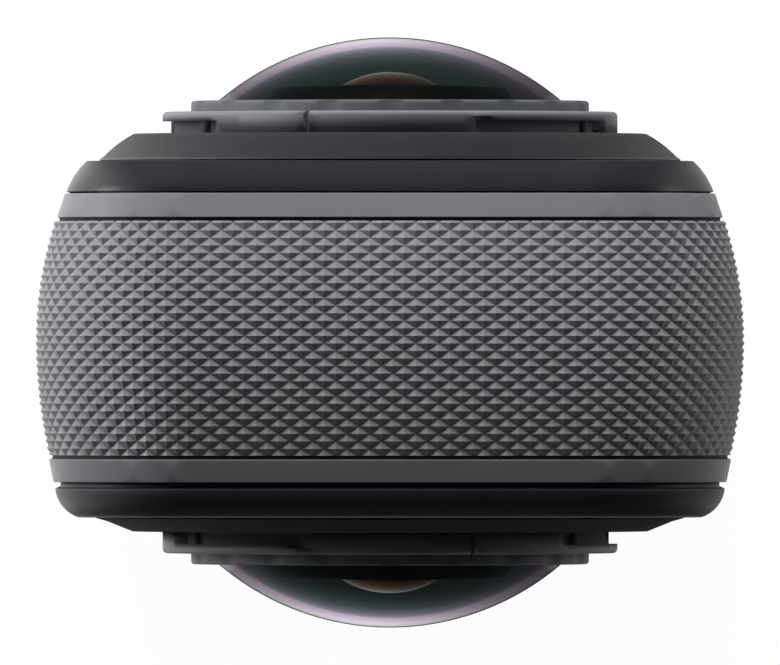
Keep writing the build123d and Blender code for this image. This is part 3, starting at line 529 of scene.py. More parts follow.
def add_rings(finish, pitch, height):
    """Fine turned marks round the lens axis."""
    wave = add_pattern(finish.node_tree, "ShaderNodeTexWave", pitch * WAVES_PER_UNIT,
                       (0, 0, lens_axis_height), wave_type="RINGS", rings_direction="Y",
                       in_Distortion=0.0)
    add_bump(finish, wave[1], height)


def grained_finish(name, colour, roughness, grain, mottle, **sockets):
    """Finish with a grain of a size and height, and a mottle of a spread and size."""
    finish = new_finish(name, colour, roughness, **sockets)
    add_grain(finish, *grain)
    add_mottle(finish, *mottle)


print("mottle, grain and rings ready")

# %% [markdown]
# The shell has two families. The grip and the bands beside it are a mid grey, sprayed and
# satin. The covers, the bezel and the lens surrounds are near black, with a finer moulded
# skin, and the front surround is satin where the rear one is matt. A grain is given by its
# size and height, a mottle by the share that the colour drifts and the size of the patches.

# %% Shell finishes
GRIP_GRAIN = (0.09 * MM, 0.004 * MM)
BAND_GRAIN = (0.07 * MM, 0.002 * MM)
SHELL_GRAIN = (0.06 * MM, 0.003 * MM)
FINE_GRAIN = (0.05 * MM, 0.002 * MM)
RUBBER_GRAIN = (0.12 * MM, 0.006 * MM)
GRIP_MOTTLE = (0.06, 6 * MM)
BAND_MOTTLE = (0.04, 9 * MM)
SHELL_MOTTLE = (0.08, 7 * MM)
GREY_BUTTON_MOTTLE = (0.05, 3 * MM)
BLACK_BUTTON_MOTTLE = (0.06, 3 * MM)
RUBBER_MOTTLE = (0.15, 2 * MM)

grained_finish("grip_grey", (158, 159, 163), 0.42, GRIP_GRAIN, GRIP_MOTTLE)
grained_finish("band_grey", (148, 149, 154), 0.40, BAND_GRAIN, BAND_MOTTLE, Specular_IOR_Level=0.20)
grained_finish("cover_black", (46, 47, 51), 0.34, SHELL_GRAIN, SHELL_MOTTLE, Specular_IOR_Level=0.40)
grained_finish("bezel_black", (60, 62, 67), 0.46, SHELL_GRAIN, SHELL_MOTTLE, Specular_IOR_Level=0.25)
grained_finish("surround_satin", (45, 46, 50), 0.48, SHELL_GRAIN, SHELL_MOTTLE, Specular_IOR_Level=1.0)
grained_finish("surround_matt", (36, 37, 40), 0.80, SHELL_GRAIN, SHELL_MOTTLE, Specular_IOR_Level=0.15)
grained_finish("button_grey", (128, 129, 133), 0.34, FINE_GRAIN, GREY_BUTTON_MOTTLE)
grained_finish("button_black", (44, 44, 47), 0.30, FINE_GRAIN, BLACK_BUTTON_MOTTLE)
grained_finish("seal_rubber", (18, 18, 19), 0.75, RUBBER_GRAIN, RUBBER_MOTTLE)
print(len(finishes), "shell finishes made")

# %% [markdown]
# The bayonet rings and the plates that hold the glass are turned, bead blasted and anodised
# dark. Blasting takes the metal's sparkle, so they're shaded as a matt colour with faint
# turned rings, and no metallic value. The barrels are dull black inside and out, so that no
# light strays between the elements. Turned marks are given by their pitch and height.

# %% Lens metals
RING_MOTTLE = (0.05, 5 * MM)
PLATE_MOTTLE = (0.05, 4 * MM)
BARREL_GRAIN = (0.08 * MM, 0.003 * MM)
BARREL_MOTTLE = (0.1, 3 * MM)
turned_marks = {
    "ring_anodised": (0.12 * MM, 0.001 * MM),
    "plate_anodised": (0.10 * MM, 0.001 * MM),
    "barrel_black": (0.16 * MM, 0.012 * MM),
}

grained_finish("ring_anodised", (140, 141, 146), 0.55, FINE_GRAIN, RING_MOTTLE)
grained_finish("plate_anodised", (110, 111, 116), 0.60, FINE_GRAIN, PLATE_MOTTLE)
grained_finish("barrel_black", (24, 24, 26), 0.80, BARREL_GRAIN, BARREL_MOTTLE, Specular_IOR_Level=0.10)
for name, (pitch, height) in turned_marks.items():
    add_rings(finishes[name], pitch, height)
print(len(turned_marks), "lens metals made")

# %% [markdown]
# The glass carries thin coatings that kill reflections, and they leave a tint: lilac where
# the surface turns away, sea green where it faces you. Blender's shader has such a film, set
# by its thickness in nanometres, which cools the middle. Layer Weight adds the lilac at the
# rim. The inner elements show a warmer, reddish coating. All glass has faint marks from a
# cloth, as patches that are a little rougher.

# %% Glass
WIPE_MARKS = 0.02
WIPE_SIZE = 9 * MM
TINT_START = 0.60
TINT_FULL = 0.76
SEA_GREEN = (172, 196, 192)
LILAC = (228, 146, 208)

new_finish("dome_glass_coated", SEA_GREEN, 0.0, IOR=1.40, Transmission_Weight=1.0,
           Thin_Film_Thickness=300.0, Thin_Film_IOR=1.25)
new_finish("inner_glass_coated", (238, 120, 98), 0.06, Metallic=0.9)
new_finish("screen_glass_black", (9, 9, 11), 0.05, Coat_Weight=1.0, Coat_Roughness=0.02)
new_finish("display_dark", (16, 18, 26), 0.25)


def add_wipe_marks(finish):
    """Gloss that drops a little in soft patches, as on glass that was wiped with a cloth."""
    tree = finish.node_tree
    roughness = shader_input(finish, "Roughness")
    clean = roughness.default_value
    wiped = add_fade(tree, add_noise(tree, WIPE_SIZE), (clean, clean + WIPE_MARKS))
    tree.links.new(wiped, roughness)


def tint_by_angle(finish, facing_colour, rim_colour):
    """Colour that changes from one tint to another as the surface turns away."""
    tree = finish.node_tree
    turned_away = add_node(tree, "ShaderNodeLayerWeight", in_Blend=0.5)
    rim = add_fade(tree, turned_away.outputs["Facing"], (0.0, 1.0), (TINT_START, TINT_FULL))
    blend_colour(finish, rim, srgb(*rim_colour), srgb(*facing_colour))


for name in ("dome_glass_coated", "inner_glass_coated", "screen_glass_black", "display_dark"):
    add_wipe_marks(finishes[name])
tint_by_angle(finishes["dome_glass_coated"], SEA_GREEN, LILAC)
print("glass made")

# %% [markdown]
# Inside are cast and pressed metals, circuit boards, gold contacts and a wrapped battery.
# They show when the battery comes out, the port door swings open or the camera is taken
# apart, so they get honest finishes too.

# %% Metals inside
METAL_MOTTLE = (0.06, 4 * MM)
metals = {
    "frame_alloy": ((150, 152, 156), 0.48, (0.3 * MM, 0.01 * MM)),
    "pressed_steel": ((188, 189, 190), 0.30, (0.15 * MM, 0.003 * MM)),
    "screw_steel": ((96, 97, 100), 0.32, (0.1 * MM, 0.003 * MM)),
    "insert_steel": ((176, 176, 174), 0.28, (0.12 * MM, 0.003 * MM)),
    "magnet_nickel": ((204, 200, 190), 0.18, (0.2 * MM, 0.002 * MM)),
    "spreader_copper": ((206, 128, 92), 0.30, (0.2 * MM, 0.004 * MM)),
    "contact_gold": ((232, 188, 104), 0.22, (0.1 * MM, 0.002 * MM)),
    "port_steel": ((170, 172, 175), 0.26, (0.1 * MM, 0.002 * MM)),
}
for name, (colour, roughness, grain) in metals.items():
    grained_finish(name, colour, roughness, grain, METAL_MOTTLE, Metallic=1.0)
print(len(metals), "metals made")

# %% [markdown]
# The moulded pieces have a fine eroded skin, the battery a smoother wrap, and the sensors a
# face like dark glass. On a circuit board copper tracks show faintly through the green mask.
# The edges of Voronoi cells have the same straight runs and bends, and need no picture.

# %% Plastics, boards and battery
MOULDED_GRAIN = (0.1 * MM, 0.004 * MM)
WRAP_GRAIN = (0.25 * MM, 0.003 * MM)
SENSOR_GRAIN = (0.4 * MM, 0.001 * MM)
PLASTIC_MOTTLE = (0.08, 4 * MM)
TRACK_GREEN = (60, 104, 70)
TRACK_PITCH = 1.4 * MM
TRACK_CORE = 0.03
TRACK_EDGE = 0.07
plastics = {
    "bay_plastic": ((48, 49, 52), 0.55, MOULDED_GRAIN),
    "speaker_plastic": ((34, 34, 36), 0.5, MOULDED_GRAIN),
    "card_plastic": ((26, 26, 28), 0.38, MOULDED_GRAIN),
    "battery_wrap": ((52, 54, 58), 0.33, WRAP_GRAIN),
    "light_pipe": ((214, 216, 218), 0.35, MOULDED_GRAIN),
    "solder_mask": ((22, 52, 40), 0.34, MOULDED_GRAIN),
    "sensor_face": ((38, 42, 58), 0.12, SENSOR_GRAIN),
}
for name, (colour, roughness, grain) in plastics.items():
    grained_finish(name, colour, roughness, grain, PLASTIC_MOTTLE)


def add_tracks(finish, colour, pitch):
    """Fine copper tracks under the solder mask, as cells with straight sides."""
    tree = finish.node_tree
    cells = add_pattern(tree, "ShaderNodeTexVoronoi", pitch, feature="DISTANCE_TO_EDGE",
                        distance="EUCLIDEAN", in_Randomness=0.6)
    line = add_fade(tree, cells["Distance"], (1.0, 0.0), (TRACK_CORE, TRACK_EDGE))
    blend_colour(finish, line, srgb(*colour))


add_tracks(finishes["solder_mask"], TRACK_GREEN, TRACK_PITCH)
print(len(plastics), "plastics and boards made")

# %% [markdown]
# ## The diamond grip
# The grip is covered in small pyramids with a diamond foot, in rows that are set half a
# diamond apart. A bump texture would leave the outline smooth and the facets blurred, and up
# close they're the main thing to see, so they're real. Rows are counted from the front one
# and columns from the middle of the top. The outline that they follow round the body is four
# flats with rounded corners.

# %% Pattern of the diamonds
QUARTER_TURN = FULL_TURN / 4
DIAMOND_COUNT = 223
ROW_PITCH = 0.486 * MM
FIRST_PEAK_DEPTH = 6.59 * MM
PEAK_SHIFT = 0.18 * MM
MARGIN_WIDTH = 0.030 * MM
PEAK_HEIGHT = 0.25 * MM
PEAK_CLEARANCE = 0.03 * MM
WALL_DEPTH = 5 * MM
TOP_CORNER = 10 * MM
BOTTOM_CORNER = 8 * MM
BASE_CUT = 1.5 * MM
WELD_DISTANCE = 0.0005 * MM

top_flat = half_width - TOP_CORNER
side_flat = body_top + BASE_CUT - TOP_CORNER - BOTTOM_CORNER
bottom_flat = half_width - BOTTOM_CORNER
half_outline = top_flat + side_flat + bottom_flat + (TOP_CORNER + BOTTOM_CORNER) * QUARTER_TURN
column_pitch = half_outline / DIAMOND_COUNT
rows_in_front = math.ceil((sleeve_high.y - FIRST_PEAK_DEPTH) / ROW_PITCH) + 1
rows_behind = math.ceil((FIRST_PEAK_DEPTH - sleeve_low.y) / ROW_PITCH) + 1
row_count = rows_in_front + rows_behind
print(DIAMOND_COUNT, "diamonds round the body,", row_count, "half rows")

# %% [markdown]
# The way: lay out a flat grid, split its cells along the valleys, dissolve the peaks so that
# every diamond is one face, inset each face a little for the flat margin between pyramids,
# and poke its middle up. The sheet's four corners stay, so that its two ends still meet when
# it is closed into a ring.

# %% Pyramids by inset and poke
def pyramid_sheet():
    """Flat sheet of pyramids: X runs round the body, Y is depth, Z is height over the valleys."""
    sheet = bmesh.new()
    columns = 2 * DIAMOND_COUNT
    bmesh.ops.create_grid(sheet, x_segments=columns, y_segments=row_count, size=1)
    stretch = (half_outline, row_count * ROW_PITCH / 2, 1)
    bmesh.ops.scale(sheet, vec=stretch, verts=sheet.verts)
    front_row = FIRST_PEAK_DEPTH + rows_in_front * ROW_PITCH
    shift = (PEAK_SHIFT, front_row - row_count * ROW_PITCH / 2, 0)
    bmesh.ops.translate(sheet, vec=shift, verts=sheet.verts)
    peaks = []
    for vert in sheet.verts:
        column = round((vert.co.x - PEAK_SHIFT) / column_pitch)
        row = round((FIRST_PEAK_DEPTH - vert.co.y) / ROW_PITCH)
        at_corner = len(vert.link_edges) == 2
        if (column + row) % 2 == 0 and not at_corner:
            peaks.append(vert)
    valleys = list(set(sheet.verts) - set(peaks))
    bmesh.ops.connect_verts(sheet, verts=valleys)
    bmesh.ops.dissolve_verts(sheet, verts=peaks)
    bmesh.ops.inset_individual(sheet, faces=sheet.faces, thickness=MARGIN_WIDTH)
    diamonds = [face for face in sheet.faces if all(len(edge.link_faces) == 2 for edge in face.edges)
                and face.calc_area() > column_pitch * ROW_PITCH]
    bmesh.ops.poke(sheet, faces=diamonds, offset=PEAK_HEIGHT, center_mode="MEAN")
    return sheet


sheet = pyramid_sheet()
print(len(sheet.faces), "facets,", round(max(vert.co.z for vert in sheet.verts) / MM, 3), "mm high")

# %% [markdown]
# The sheet has no thickness yet. Its front edge is pulled down, across and up again, which
# makes a closed box section. Then every point is laid on the body: X becomes the way round
# the outline and Z the distance above it. The grip is also crowned from front to rear, a
# shallow arc to each side of the middle.

# %% Wrap the sheet round the body
CROWN_DEPTH = -0.5 * MM
FRONT_CROWN_RADIUS = 24.84 * MM
REAR_CROWN_RADIUS = 32.98 * MM


def crown_drop(depth):
    """How far the crowned grip has fallen away from its highest line at a depth."""
    run = depth - CROWN_DEPTH
    radius = FRONT_CROWN_RADIUS if run > 0 else REAR_CROWN_RADIUS
    return radius - math.sqrt(radius ** 2 - run ** 2)


def outline_place(distance):
    """Point and outward direction on the outline, at a distance round from the top middle."""
    side = 1 if distance >= 0 else -1
    rest = abs(distance)
    top_arc = TOP_CORNER * QUARTER_TURN
    bottom_arc = BOTTOM_CORNER * QUARTER_TURN
    if rest < top_flat:
        return Vector((side * rest, 0, body_top)), Vector((0, 0, 1))
    rest -= top_flat
    if rest < top_arc:
        turn = rest / TOP_CORNER
        out = Vector((side * math.sin(turn), 0, math.cos(turn)))
        middle = Vector((side * top_flat, 0, body_top - TOP_CORNER))
        return middle + out * TOP_CORNER, out
    rest -= top_arc
    if rest < side_flat:
        return Vector((side * half_width, 0, body_top - TOP_CORNER - rest)), Vector((side, 0, 0))
    rest -= side_flat
    if rest < bottom_arc:
        turn = rest / BOTTOM_CORNER
        out = Vector((side * math.cos(turn), 0, -math.sin(turn)))
        middle = Vector((side * bottom_flat, 0, BOTTOM_CORNER - BASE_CUT))
        return middle + out * BOTTOM_CORNER, out
    rest -= bottom_arc
    return Vector((side * (bottom_flat - rest), 0, -BASE_CUT)), Vector((0, 0, -1))


def close_and_wrap(sheet):
    """Give the sheet a wall and lay it on the body outline."""
    front = max(vert.co.y for vert in sheet.verts)
    depth = row_count * ROW_PITCH
    edges = [edge for edge in sheet.edges if edge.is_boundary
             and all(abs(vert.co.y - front) < WELD_DISTANCE for vert in edge.verts)]
    for move in ((0, 0, -WALL_DEPTH), (0, -depth, 0), (0, 0, WALL_DEPTH)):
        made = bmesh.ops.extrude_edge_only(sheet, edges=edges)["geom"]
        verts = [part for part in made if isinstance(part, bmesh.types.BMVert)]
        edges = [part for part in made if isinstance(part, bmesh.types.BMEdge)]
        bmesh.ops.translate(sheet, vec=move, verts=verts)
    peak_drop = PEAK_CLEARANCE + PEAK_HEIGHT
    for vert in sheet.verts:
        place, out = outline_place(vert.co.x)
        place += out * (vert.co.z - peak_drop - crown_drop(vert.co.y))
        vert.co = (place.x, vert.co.y, place.z)
    bmesh.ops.remove_doubles(sheet, verts=sheet.verts, dist=WELD_DISTANCE)
    bmesh.ops.recalc_face_normals(sheet, faces=sheet.faces)


close_and_wrap(sheet)
open_edges = sum(not edge.is_manifold for edge in sheet.edges)
pyramid_ring = object_from_shape("pyramid_ring", sheet)
print(len(pyramid_ring.data.polygons), "faces in the ring,", open_edges, "open edges")

# %% [markdown]
# Every new piece is added in the same way: its mesh is written from a bmesh, it takes one
# finish, rides on its body and is shown instead of the exact piece. A copy of an exact piece
# has its loose triangles joined first. A Boolean needs a second object as a tool, which goes
# again afterwards.

# %% Helpers that add a piece
TRIANGLE_WELD = 0.002 * MM


def merged_copy(node_name):
    """Mesh of an exact piece with its loose triangles joined."""
    shape = bmesh.new()
    shape.from_mesh(nodes[node_name].data)
    bmesh.ops.remove_doubles(shape, verts=shape.verts, dist=TRIANGLE_WELD)
    return shape


def add_piece(name, shape, finish_name, body, node_name):
    """Object at the origin from a bmesh, with its finish, on its body, instead of a node."""
    piece = object_from_shape(name, shape)
    piece.data.materials.clear()
    piece.data.materials.append(finishes[finish_name])
    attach(piece, body)
    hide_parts(node_name)
    return piece


def apply_modifiers(piece):
    """Write what a piece's modifiers make into its mesh."""
    shown = piece.evaluated_get(bpy.context.evaluated_depsgraph_get())
    mesh = bpy.data.meshes.new_from_object(shown)
    piece.modifiers.clear()
    piece.data = mesh
    return piece


def cut_with(piece, tool, operation):
    """Exact Boolean between a piece and a tool; the piece keeps only its own finish."""
    finish = piece.data.materials[0]
    cut = piece.modifiers.new("cut", "BOOLEAN")
    cut.operation = operation
    cut.solver = "EXACT"
    cut.object = tool
    apply_modifiers(piece)
    piece.data.materials.clear()
    piece.data.materials.append(finish)


def join_shape(piece, shape):
    """Add a bmesh to a piece's own mesh."""
    shape.from_mesh(piece.data)
    shape.to_mesh(piece.data)
    shape.free()


print("piece helpers ready")

# %% [markdown]
# Three pieces share the pattern: the sleeve, the battery's side cover and the port door. The
# pattern has to run on across their joints, so all three are cut from the same ring of
# pyramids. Each exact piece is crossed with the ring, which keeps its cut-outs and ends and
# gives it the facets outside.

# %% Cut the three grip pieces
grip_pieces = {"grip_sleeve": "camera_body", "battery_cover": "battery", "usb_door": "usb_door"}
for node_name, body in grip_pieces.items():
    piece = add_piece(f"{node_name}_diamond", merged_copy(node_name), "grip_grey", body, node_name)
    cut_with(piece, pyramid_ring, "INTERSECT")
    piece.data.shade_flat()
    print(piece.name, len(piece.data.polygons), "faces")
bpy.data.objects.remove(pyramid_ring)

# %% [markdown]
# ## Softened edges
# No moulded or turned edge is razor sharp, and the thin highlight along it is what makes a
# part look solid. The exact pieces have sharp edges. A copy of each visible one gets its
# triangles joined and its edges rounded by a few hundredths of a millimetre.

# %% Round the edges of a copy
FLAT_ANGLE = math.radians(0.4)
SHARP_ANGLE = math.radians(28)
BEVEL_ANGLE = math.radians(40)
BEVEL_STEPS = 2
SHORT_EDGE = 0.34 * MM
SEAM_GAP = 0.10 * MM
SEAM_REACH = 0.09 * MM
edge_widths = {
    "rear_bezel": (0.08 * MM, "bezel_black"),
    "front_trim_band": (0.06 * MM, "band_grey"),
    "rear_trim_band": (0.06 * MM, "band_grey"),
    "base_plate": (0.10 * MM, "frame_alloy"),
}


def flat_and_smooth(piece):
    """Shade rounded edges smooth while the large faces between them stay flat."""
    piece.data.shade_smooth()
    piece.data.set_sharp_from_angle(angle=BEVEL_ANGLE)
    flat = piece.modifiers.new("flat_faces", "WEIGHTED_NORMAL")
    flat.keep_sharp = True
    return apply_modifiers(piece)


def open_seam(shape, plane, facing, within):
    """Lift a piece's shoulder off the one under it where a test holds, so that a gap shows."""
    for vert in shape.verts:
        if abs(vert.co.y - plane) < SEAM_REACH and within(vert.co):
            vert.co.y += SEAM_GAP * facing


def softened(node_name, width, finish_name, body="camera_body", seam=None):
    """Copy of an exact piece with rounded edges, shown instead of it."""
    shape = merged_copy(node_name)
    bmesh.ops.dissolve_limit(shape, angle_limit=FLAT_ANGLE, verts=shape.verts, edges=shape.edges)
    sharp = [edge for edge in shape.edges if edge.is_manifold and edge.calc_length() > SHORT_EDGE
             and edge.calc_face_angle() > SHARP_ANGLE]
    bmesh.ops.bevel(shape, geom=sharp, offset=width, offset_type="OFFSET", segments=BEVEL_STEPS,
                    profile=0.5, affect="EDGES", material=-1, clamp_overlap=False)
    bmesh.ops.recalc_face_normals(shape, faces=shape.faces)
    if seam:
        open_seam(shape, *seam)
    piece = add_piece(f"{node_name}_finished", shape, finish_name, body, node_name)
    return flat_and_smooth(piece)


for node_name, (width, finish_name) in edge_widths.items():
    piece = softened(node_name, width, finish_name)
    print(piece.name, len(piece.data.polygons), "faces")

# %% [markdown]
# Two joints show as thin dark lines: the lens surrounds on their covers, and the front cover
# on the painted band. Light skims over them, so a gap of a tenth of a millimetre is enough.
# The shoulder that rests on the piece below is lifted by that much in the copy.

# %% Pieces with an open seam
SURROUND_BORE = 15 * MM
SHELL_EDGE = 0.08 * MM
lens_ends = {"front": 1, "rear": -1}
covers = {"front": ("front_cover", "surround_satin"), "rear": ("rear_bezel", "surround_matt")}


def outer_end(low, high, facing):
    """How far out a box reaches along the lens axis, towards the front (1) or the rear (-1)."""
    return max(low.y * facing, high.y * facing)


def outside_bore(place):
    """True for places on the surround's shoulder, away from its bore."""
    return math.hypot(place.x, place.z - lens_axis_height) > SURROUND_BORE


for side, facing in lens_ends.items():
    under, finish_name = covers[side]
    plane = facing * outer_end(*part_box(under), facing)
    node_name = f"{side}_lens_surround"
    piece = softened(node_name, SHELL_EDGE, finish_name, seam=(plane, facing, outside_bore))
    print(piece.name, "shoulder at", round(plane / MM, 2))

facing = lens_ends["front"]
plane = outer_end(*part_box("front_trim_band"), facing)
piece = softened("front_cover", SHELL_EDGE, "cover_black", seam=(plane, facing, lambda place: True))
print(piece.name, "shoulder at", round(plane / MM, 2))

# %% [markdown]
# The bayonet rings and the scalloped plates already have their rounded edges in the exact
# shape, in fine steps. Those only have to shade as one smooth surface.

# %% Bayonet rings and scalloped plates
SMOOTH_ANGLE = math.radians(24)
ring_and_plate = {"bayonet_ring": "ring_anodised", "lens_retainer": "plate_anodised"}


def shade_curves(piece):
    """Shade a piece smooth, apart from its sharp edges."""
    piece.data.shade_smooth()
    piece.data.set_sharp_from_angle(angle=SMOOTH_ANGLE)


for side in lens_ends:
    for kind, finish_name in ring_and_plate.items():
        node_name = f"{side}_{kind}"
        shape = merged_copy(node_name)
        piece = add_piece(f"{node_name}_finished", shape, finish_name, "camera_body", node_name)
        shade_curves(piece)
        print(piece.name, len(piece.data.polygons), "faces")

# %% [markdown]
# The two round buttons under the screen look alike in the dark, so each gets a plain printed
# ring, a large one for the shutter and a small one for the other. The ring is a band of
# distance from the button's middle, mixed into the colour of a copy of the buttons' finish.

# %% Printed rings
MARK_GREY = (176, 177, 180)
MARK_RED = (196, 44, 40)
printed_rings = {
    "shutter_button": ("shutter_button_finish", 1.5 * MM, 0.28 * MM, MARK_RED),
    "lens_switch_button": ("lens_switch_finish", 0.9 * MM, 0.22 * MM, MARK_GREY),
}


def add_printed_ring(finish, node_name, radius, width, colour):
    """Thin ring of another colour round the middle of a button that faces the rear."""
    tree = finish.node_tree
    low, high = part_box(node_name)
    middle = ((low.x + high.x) / 2, 0, (low.z + high.z) / 2)
    flat = add_vector_math(tree, "MULTIPLY", pattern_place(tree, MM, middle), (1, 0, 1))
    off_line = add_math(tree, "SUBTRACT", add_vector_math(tree, "LENGTH", flat), radius / MM)
    off_line = add_math(tree, "ABSOLUTE", off_line, 0.0)
    inside = add_math(tree, "LESS_THAN", off_line, width / MM / 2)
    blend_colour(finish, inside, srgb(*colour))


for node_name, (finish_name, radius, width, colour) in printed_rings.items():
    finish = finishes["button_black"].copy()
    finish.name = finish_name
    finishes[finish_name] = finish
    add_printed_ring(finish, node_name, radius, width, colour)
print(len(printed_rings), "printed rings made")

# %% [markdown]
# The buttons and the battery's latch get rounded edges as well. Each is a body of its own in
# the frame, under the same name as the piece, so its highlights move with it.

# %% Softened moving pieces
moving_edges = {
    "power_button": (0.12 * MM, "button_grey"),
    "quick_button": (0.12 * MM, "button_grey"),
    "shutter_button": (0.06 * MM, "shutter_button_finish"),
    "lens_switch_button": (0.06 * MM, "lens_switch_finish"),
    "battery_latch": (0.10 * MM, "button_black"),
}
for node_name, (width, finish_name) in moving_edges.items():
    piece = softened(node_name, width, finish_name, body=node_name)
    print(piece.name, "rides on", node_name)

# %% [markdown]
# ## Glass domes
# Each dome is a shell of glass with an even wall, so what is inside is seen in its place and
# only the rim gathers light. It has to be one closed, very smooth surface. A point that is
# spun makes an arc, the arcs and straight runs make half a section, and the section spun
# round the lens axis makes the dome.

# %% Section by arcs, then one full spin
ARC_STEPS = 40
TURN_STEPS = 144
POLE_WELD = 0.001 * MM


def lens_section(points_and_arcs, facing):
    """Half section beside the lens axis, then spun; facing is 1 for the front and -1 for the rear."""
    shape = bmesh.new()

    def place(depth, reach):
        return Vector((0, facing * depth, lens_axis_height + reach))

    previous = None
    for kind, *values in points_and_arcs:
        if kind == "point":
            vert = shape.verts.new(place(*values))
            if previous:
                shape.edges.new((previous, vert))
            previous = vert
        else:
            centre, angle = values
            made = bmesh.ops.spin(shape, geom=[previous], cent=place(centre, 0), axis=(1, 0, 0),
                                  angle=angle * facing, steps=ARC_STEPS, use_merge=False)
            previous = made["geom_last"][0]
    bmesh.ops.spin(shape, geom=shape.verts[:] + shape.edges[:], cent=(0, 0, lens_axis_height),
                   axis=(0, 1, 0), angle=FULL_TURN, steps=TURN_STEPS, use_merge=True)
    bmesh.ops.remove_doubles(shape, verts=shape.verts, dist=POLE_WELD)
    bmesh.ops.recalc_face_normals(shape, faces=shape.faces)
    return shape


print("lens helpers ready")

# %% [markdown]
# The dome's outer and inner arc share one centre, which gives the wall its even thickness.
# Beside the inner arc the wall runs straight down to the foot.

# %% Domes
DOME_RADIUS = 17.20 * MM
DOME_RIM = 11.50 * MM
DOME_WALL = 0.60 * MM
HOLLOW_RIM = 10.70 * MM

for side, facing in lens_ends.items():
    low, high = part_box(f"{side}_dome_glass")
    apex = outer_end(low, high, facing)
    foot = -outer_end(low, high, -facing)
    centre = apex - DOME_RADIUS
    hollow_radius = DOME_RADIUS - DOME_WALL
    outer_angle = math.asin(DOME_RIM / DOME_RADIUS)
    hollow_angle = math.asin(HOLLOW_RIM / hollow_radius)
    section = [
        ("point", apex, 0),
        ("arc", centre, outer_angle),
        ("point", foot, DOME_RIM),
        ("point", foot, HOLLOW_RIM),
        ("point", centre + hollow_radius * math.cos(hollow_angle), HOLLOW_RIM),
        ("arc", centre, -hollow_angle),
    ]
    shape = lens_section(section, facing)
    dome = add_piece(f"{side}_dome", shape, "dome_glass_coated", "camera_body", f"{side}_dome_glass")
    shade_curves(dome)
    print(dome.name, len(dome.data.polygons), "faces")

# %% [markdown]
# Behind each dome sits a smaller, strongly curved element in the nose of a black stepped
# barrel. The steps catch stray light. The exact barrel has them, and the picture shows a
# wide step too, just below its nose, so a collar with a slanted side is spun onto it. The
# element is spun again with fine steps for a clean highlight.

# %% Inner elements and barrels
INNER_RADIUS = 6.00 * MM
INNER_RIM = 5.60 * MM
COLLAR_DROP = 0.19 * MM
COLLAR_HEIGHT = 1.60 * MM
COLLAR_BORE = 5.0 * MM
COLLAR_TOP = 7.7 * MM
COLLAR_FOOT = 8.3 * MM
BARREL_EDGE = 0.04 * MM

for side, facing in lens_ends.items():
    node_name = f"{side}_inner_lens"
    low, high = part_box(node_name)
    apex = outer_end(low, high, facing)
    foot = -outer_end(low, high, -facing)
    section = [
        ("point", apex, 0),
        ("arc", apex - INNER_RADIUS, math.asin(INNER_RIM / INNER_RADIUS)),
        ("point", foot, INNER_RIM),
        ("point", foot, 0),
    ]
    shape = lens_section(section, facing)
    element = add_piece(f"{side}_inner_element", shape, "inner_glass_coated", "camera_body", node_name)
    shade_curves(element)
    barrel = softened(f"{side}_lens_barrel", BARREL_EDGE, "barrel_black")
    top = outer_end(*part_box(f"{side}_lens_barrel"), facing) - COLLAR_DROP
    section = [
        ("point", top, COLLAR_BORE),
        ("point", top, COLLAR_TOP),
        ("point", top - COLLAR_HEIGHT, COLLAR_FOOT),
        ("point", top - COLLAR_HEIGHT, COLLAR_BORE),
        ("point", top, COLLAR_BORE),
    ]
    join_shape(barrel, lens_section(section, facing))
    barrel.data.set_sharp_from_angle(angle=SMOOTH_ANGLE)
    print(element.name, "and", barrel.name)

# %% [markdown]
# ## The base
# The base has a threaded steel insert for a tripod screw. Its exact shape has a plain hole as
# wide as the thread, so the thread's ridge is made here: a triangle that is spun about the
# hole's axis and rises by one pitch for each turn. A quarter inch tripod thread rises 1.27 mm
# a turn. The ridge stops short of both ends of the hole, as a cut thread does.

# %% Tripod thread by a rising spin
THREAD_RADIUS = 3.20 * MM
THREAD_PITCH = 1.27 * MM
THREAD_HEIGHT = 0.62 * MM
RIDGE_HALF = 0.50 * MM
THREAD_START = 0.70 * MM
THREAD_TURNS = 3.5
STEPS_PER_TURN = 48
INSERT_EDGE = 0.10 * MM

ridge = bmesh.new()
wall = THREAD_RADIUS + WELD_DISTANCE
corners = [(wall, -RIDGE_HALF), (THREAD_RADIUS - THREAD_HEIGHT, 0), (wall, RIDGE_HALF)]
verts = [ridge.verts.new((reach, 0, THREAD_START + rise)) for reach, rise in corners]
loop = [ridge.edges.new((verts[index - 1], verts[index])) for index in range(len(verts))]
steps = round(THREAD_TURNS * STEPS_PER_TURN)
bmesh.ops.spin(ridge, geom=verts + loop, cent=(0, 0, 0), axis=(0, 0, 1), steps=steps,
               angle=THREAD_TURNS * FULL_TURN, dvec=(0, 0, THREAD_PITCH / STEPS_PER_TURN),
               use_merge=False)
open_ends = [edge for edge in ridge.edges if edge.is_boundary]
bmesh.ops.holes_fill(ridge, edges=open_ends, sides=len(corners))
bmesh.ops.recalc_face_normals(ridge, faces=ridge.faces)
insert = softened("tripod_insert", INSERT_EDGE, "insert_steel")
join_shape(insert, ridge)
print(insert.name, len(insert.data.polygons), "faces,", THREAD_TURNS, "turns of thread")

# %% [markdown]
# The four screws of the base plate have heads with a six lobed socket. A circle whose radius
# waves six times round makes the lobes, and the prism on it is cut out of each head.

# %% Sockets in the screws
SCREW_HEAD_RADIUS = 1.20 * MM
SOCKET_RADIUS = 0.62 * MM
SOCKET_WAVE = 0.10 * MM
SOCKET_DEPTH = 0.45 * MM
SOCKET_LOBES = 6
SOCKET_STEPS = 48

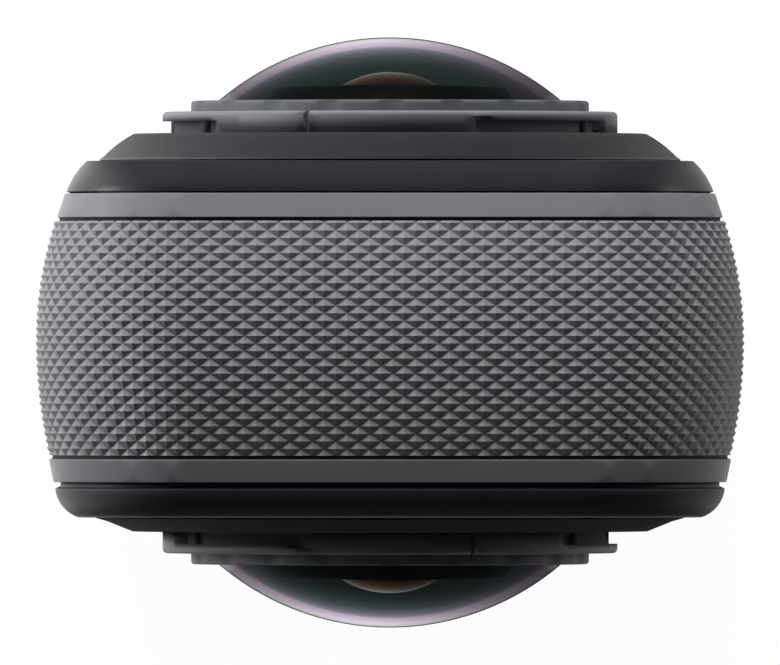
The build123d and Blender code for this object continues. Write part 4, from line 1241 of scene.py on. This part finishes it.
low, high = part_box("base_screws")
sockets = bmesh.new()
for x in (low.x + SCREW_HEAD_RADIUS, high.x - SCREW_HEAD_RADIUS):
    for y in (low.y + SCREW_HEAD_RADIUS, high.y - SCREW_HEAD_RADIUS):
        circle = bmesh.ops.create_circle(sockets, cap_ends=True, segments=SOCKET_STEPS,
                                         radius=SOCKET_RADIUS)["verts"]
        for vert in circle:
            wave = SOCKET_WAVE * math.cos(SOCKET_LOBES * math.atan2(vert.co.y, vert.co.x))
            vert.co *= 1 + wave / SOCKET_RADIUS
        bmesh.ops.translate(sockets, vec=(x, y, low.z - SOCKET_DEPTH), verts=circle)
raised = bmesh.ops.extrude_face_region(sockets, geom=sockets.faces[:])["geom"]
raised = [part for part in raised if isinstance(part, bmesh.types.BMVert)]
bmesh.ops.translate(sockets, vec=(0, 0, 2 * SOCKET_DEPTH), verts=raised)
bmesh.ops.recalc_face_normals(sockets, faces=sockets.faces)
socket_tool = object_from_shape("sockets", sockets)
shape = merged_copy("base_screws")
screws = add_piece("base_screws_finished", shape, "screw_steel", "camera_body", "base_screws")
cut_with(screws, socket_tool, "DIFFERENCE")
shade_curves(screws)
bpy.data.objects.remove(socket_tool)
print(screws.name, len(screws.data.polygons), "faces")

# %% [markdown]
# ## Everything else
# The pieces whose exact shape is already right keep it, and only take their finish.

# %% Finishes for the rest
pieces_by_finish = {
    "frame_alloy": ("centre_frame", "lens_chassis", "front_lens_carrier", "rear_lens_carrier"),
    "pressed_steel": ("board_shields", "microphones", "display_bracket"),
    "screw_steel": ("usb_hinge_pin", "lens_screws"),
    "port_steel": ("usb_port", "card_slot"),
    "spreader_copper": ("heat_spreader",),
    "contact_gold": ("battery_contacts",),
    "magnet_nickel": ("base_magnets",),
    "seal_rubber": ("front_seal", "rear_seal", "battery_cover_seal", "usb_door_seal", "lens_seals"),
    "bay_plastic": ("battery_bay",),
    "speaker_plastic": ("speaker",),
    "card_plastic": ("memory_card",),
    "battery_wrap": ("battery_pack",),
    "light_pipe": ("status_light",),
    "solder_mask": ("main_board", "sensor_boards", "rear_switches", "side_switches"),
    "sensor_face": ("image_sensors",),
    "screen_glass_black": ("screen_glass",),
    "display_dark": ("display_panel",),
    "inner_glass_coated": ("relay_lenses",),
}
for finish_name, node_names in pieces_by_finish.items():
    for node_name in node_names:
        slots = nodes[node_name].data.materials
        slots.clear()
        slots.append(finishes[finish_name])
print(sum(map(len, pieces_by_finish.values())), "pieces keep their exact shape")

# %% [markdown]
# ## Finish
# The box of the dressed camera is printed, to set beside that of the exact one.

# %% Sizes and last line
low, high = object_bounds()
print("dressed size in mm", [round(side / MM, 2) for side in high - low])
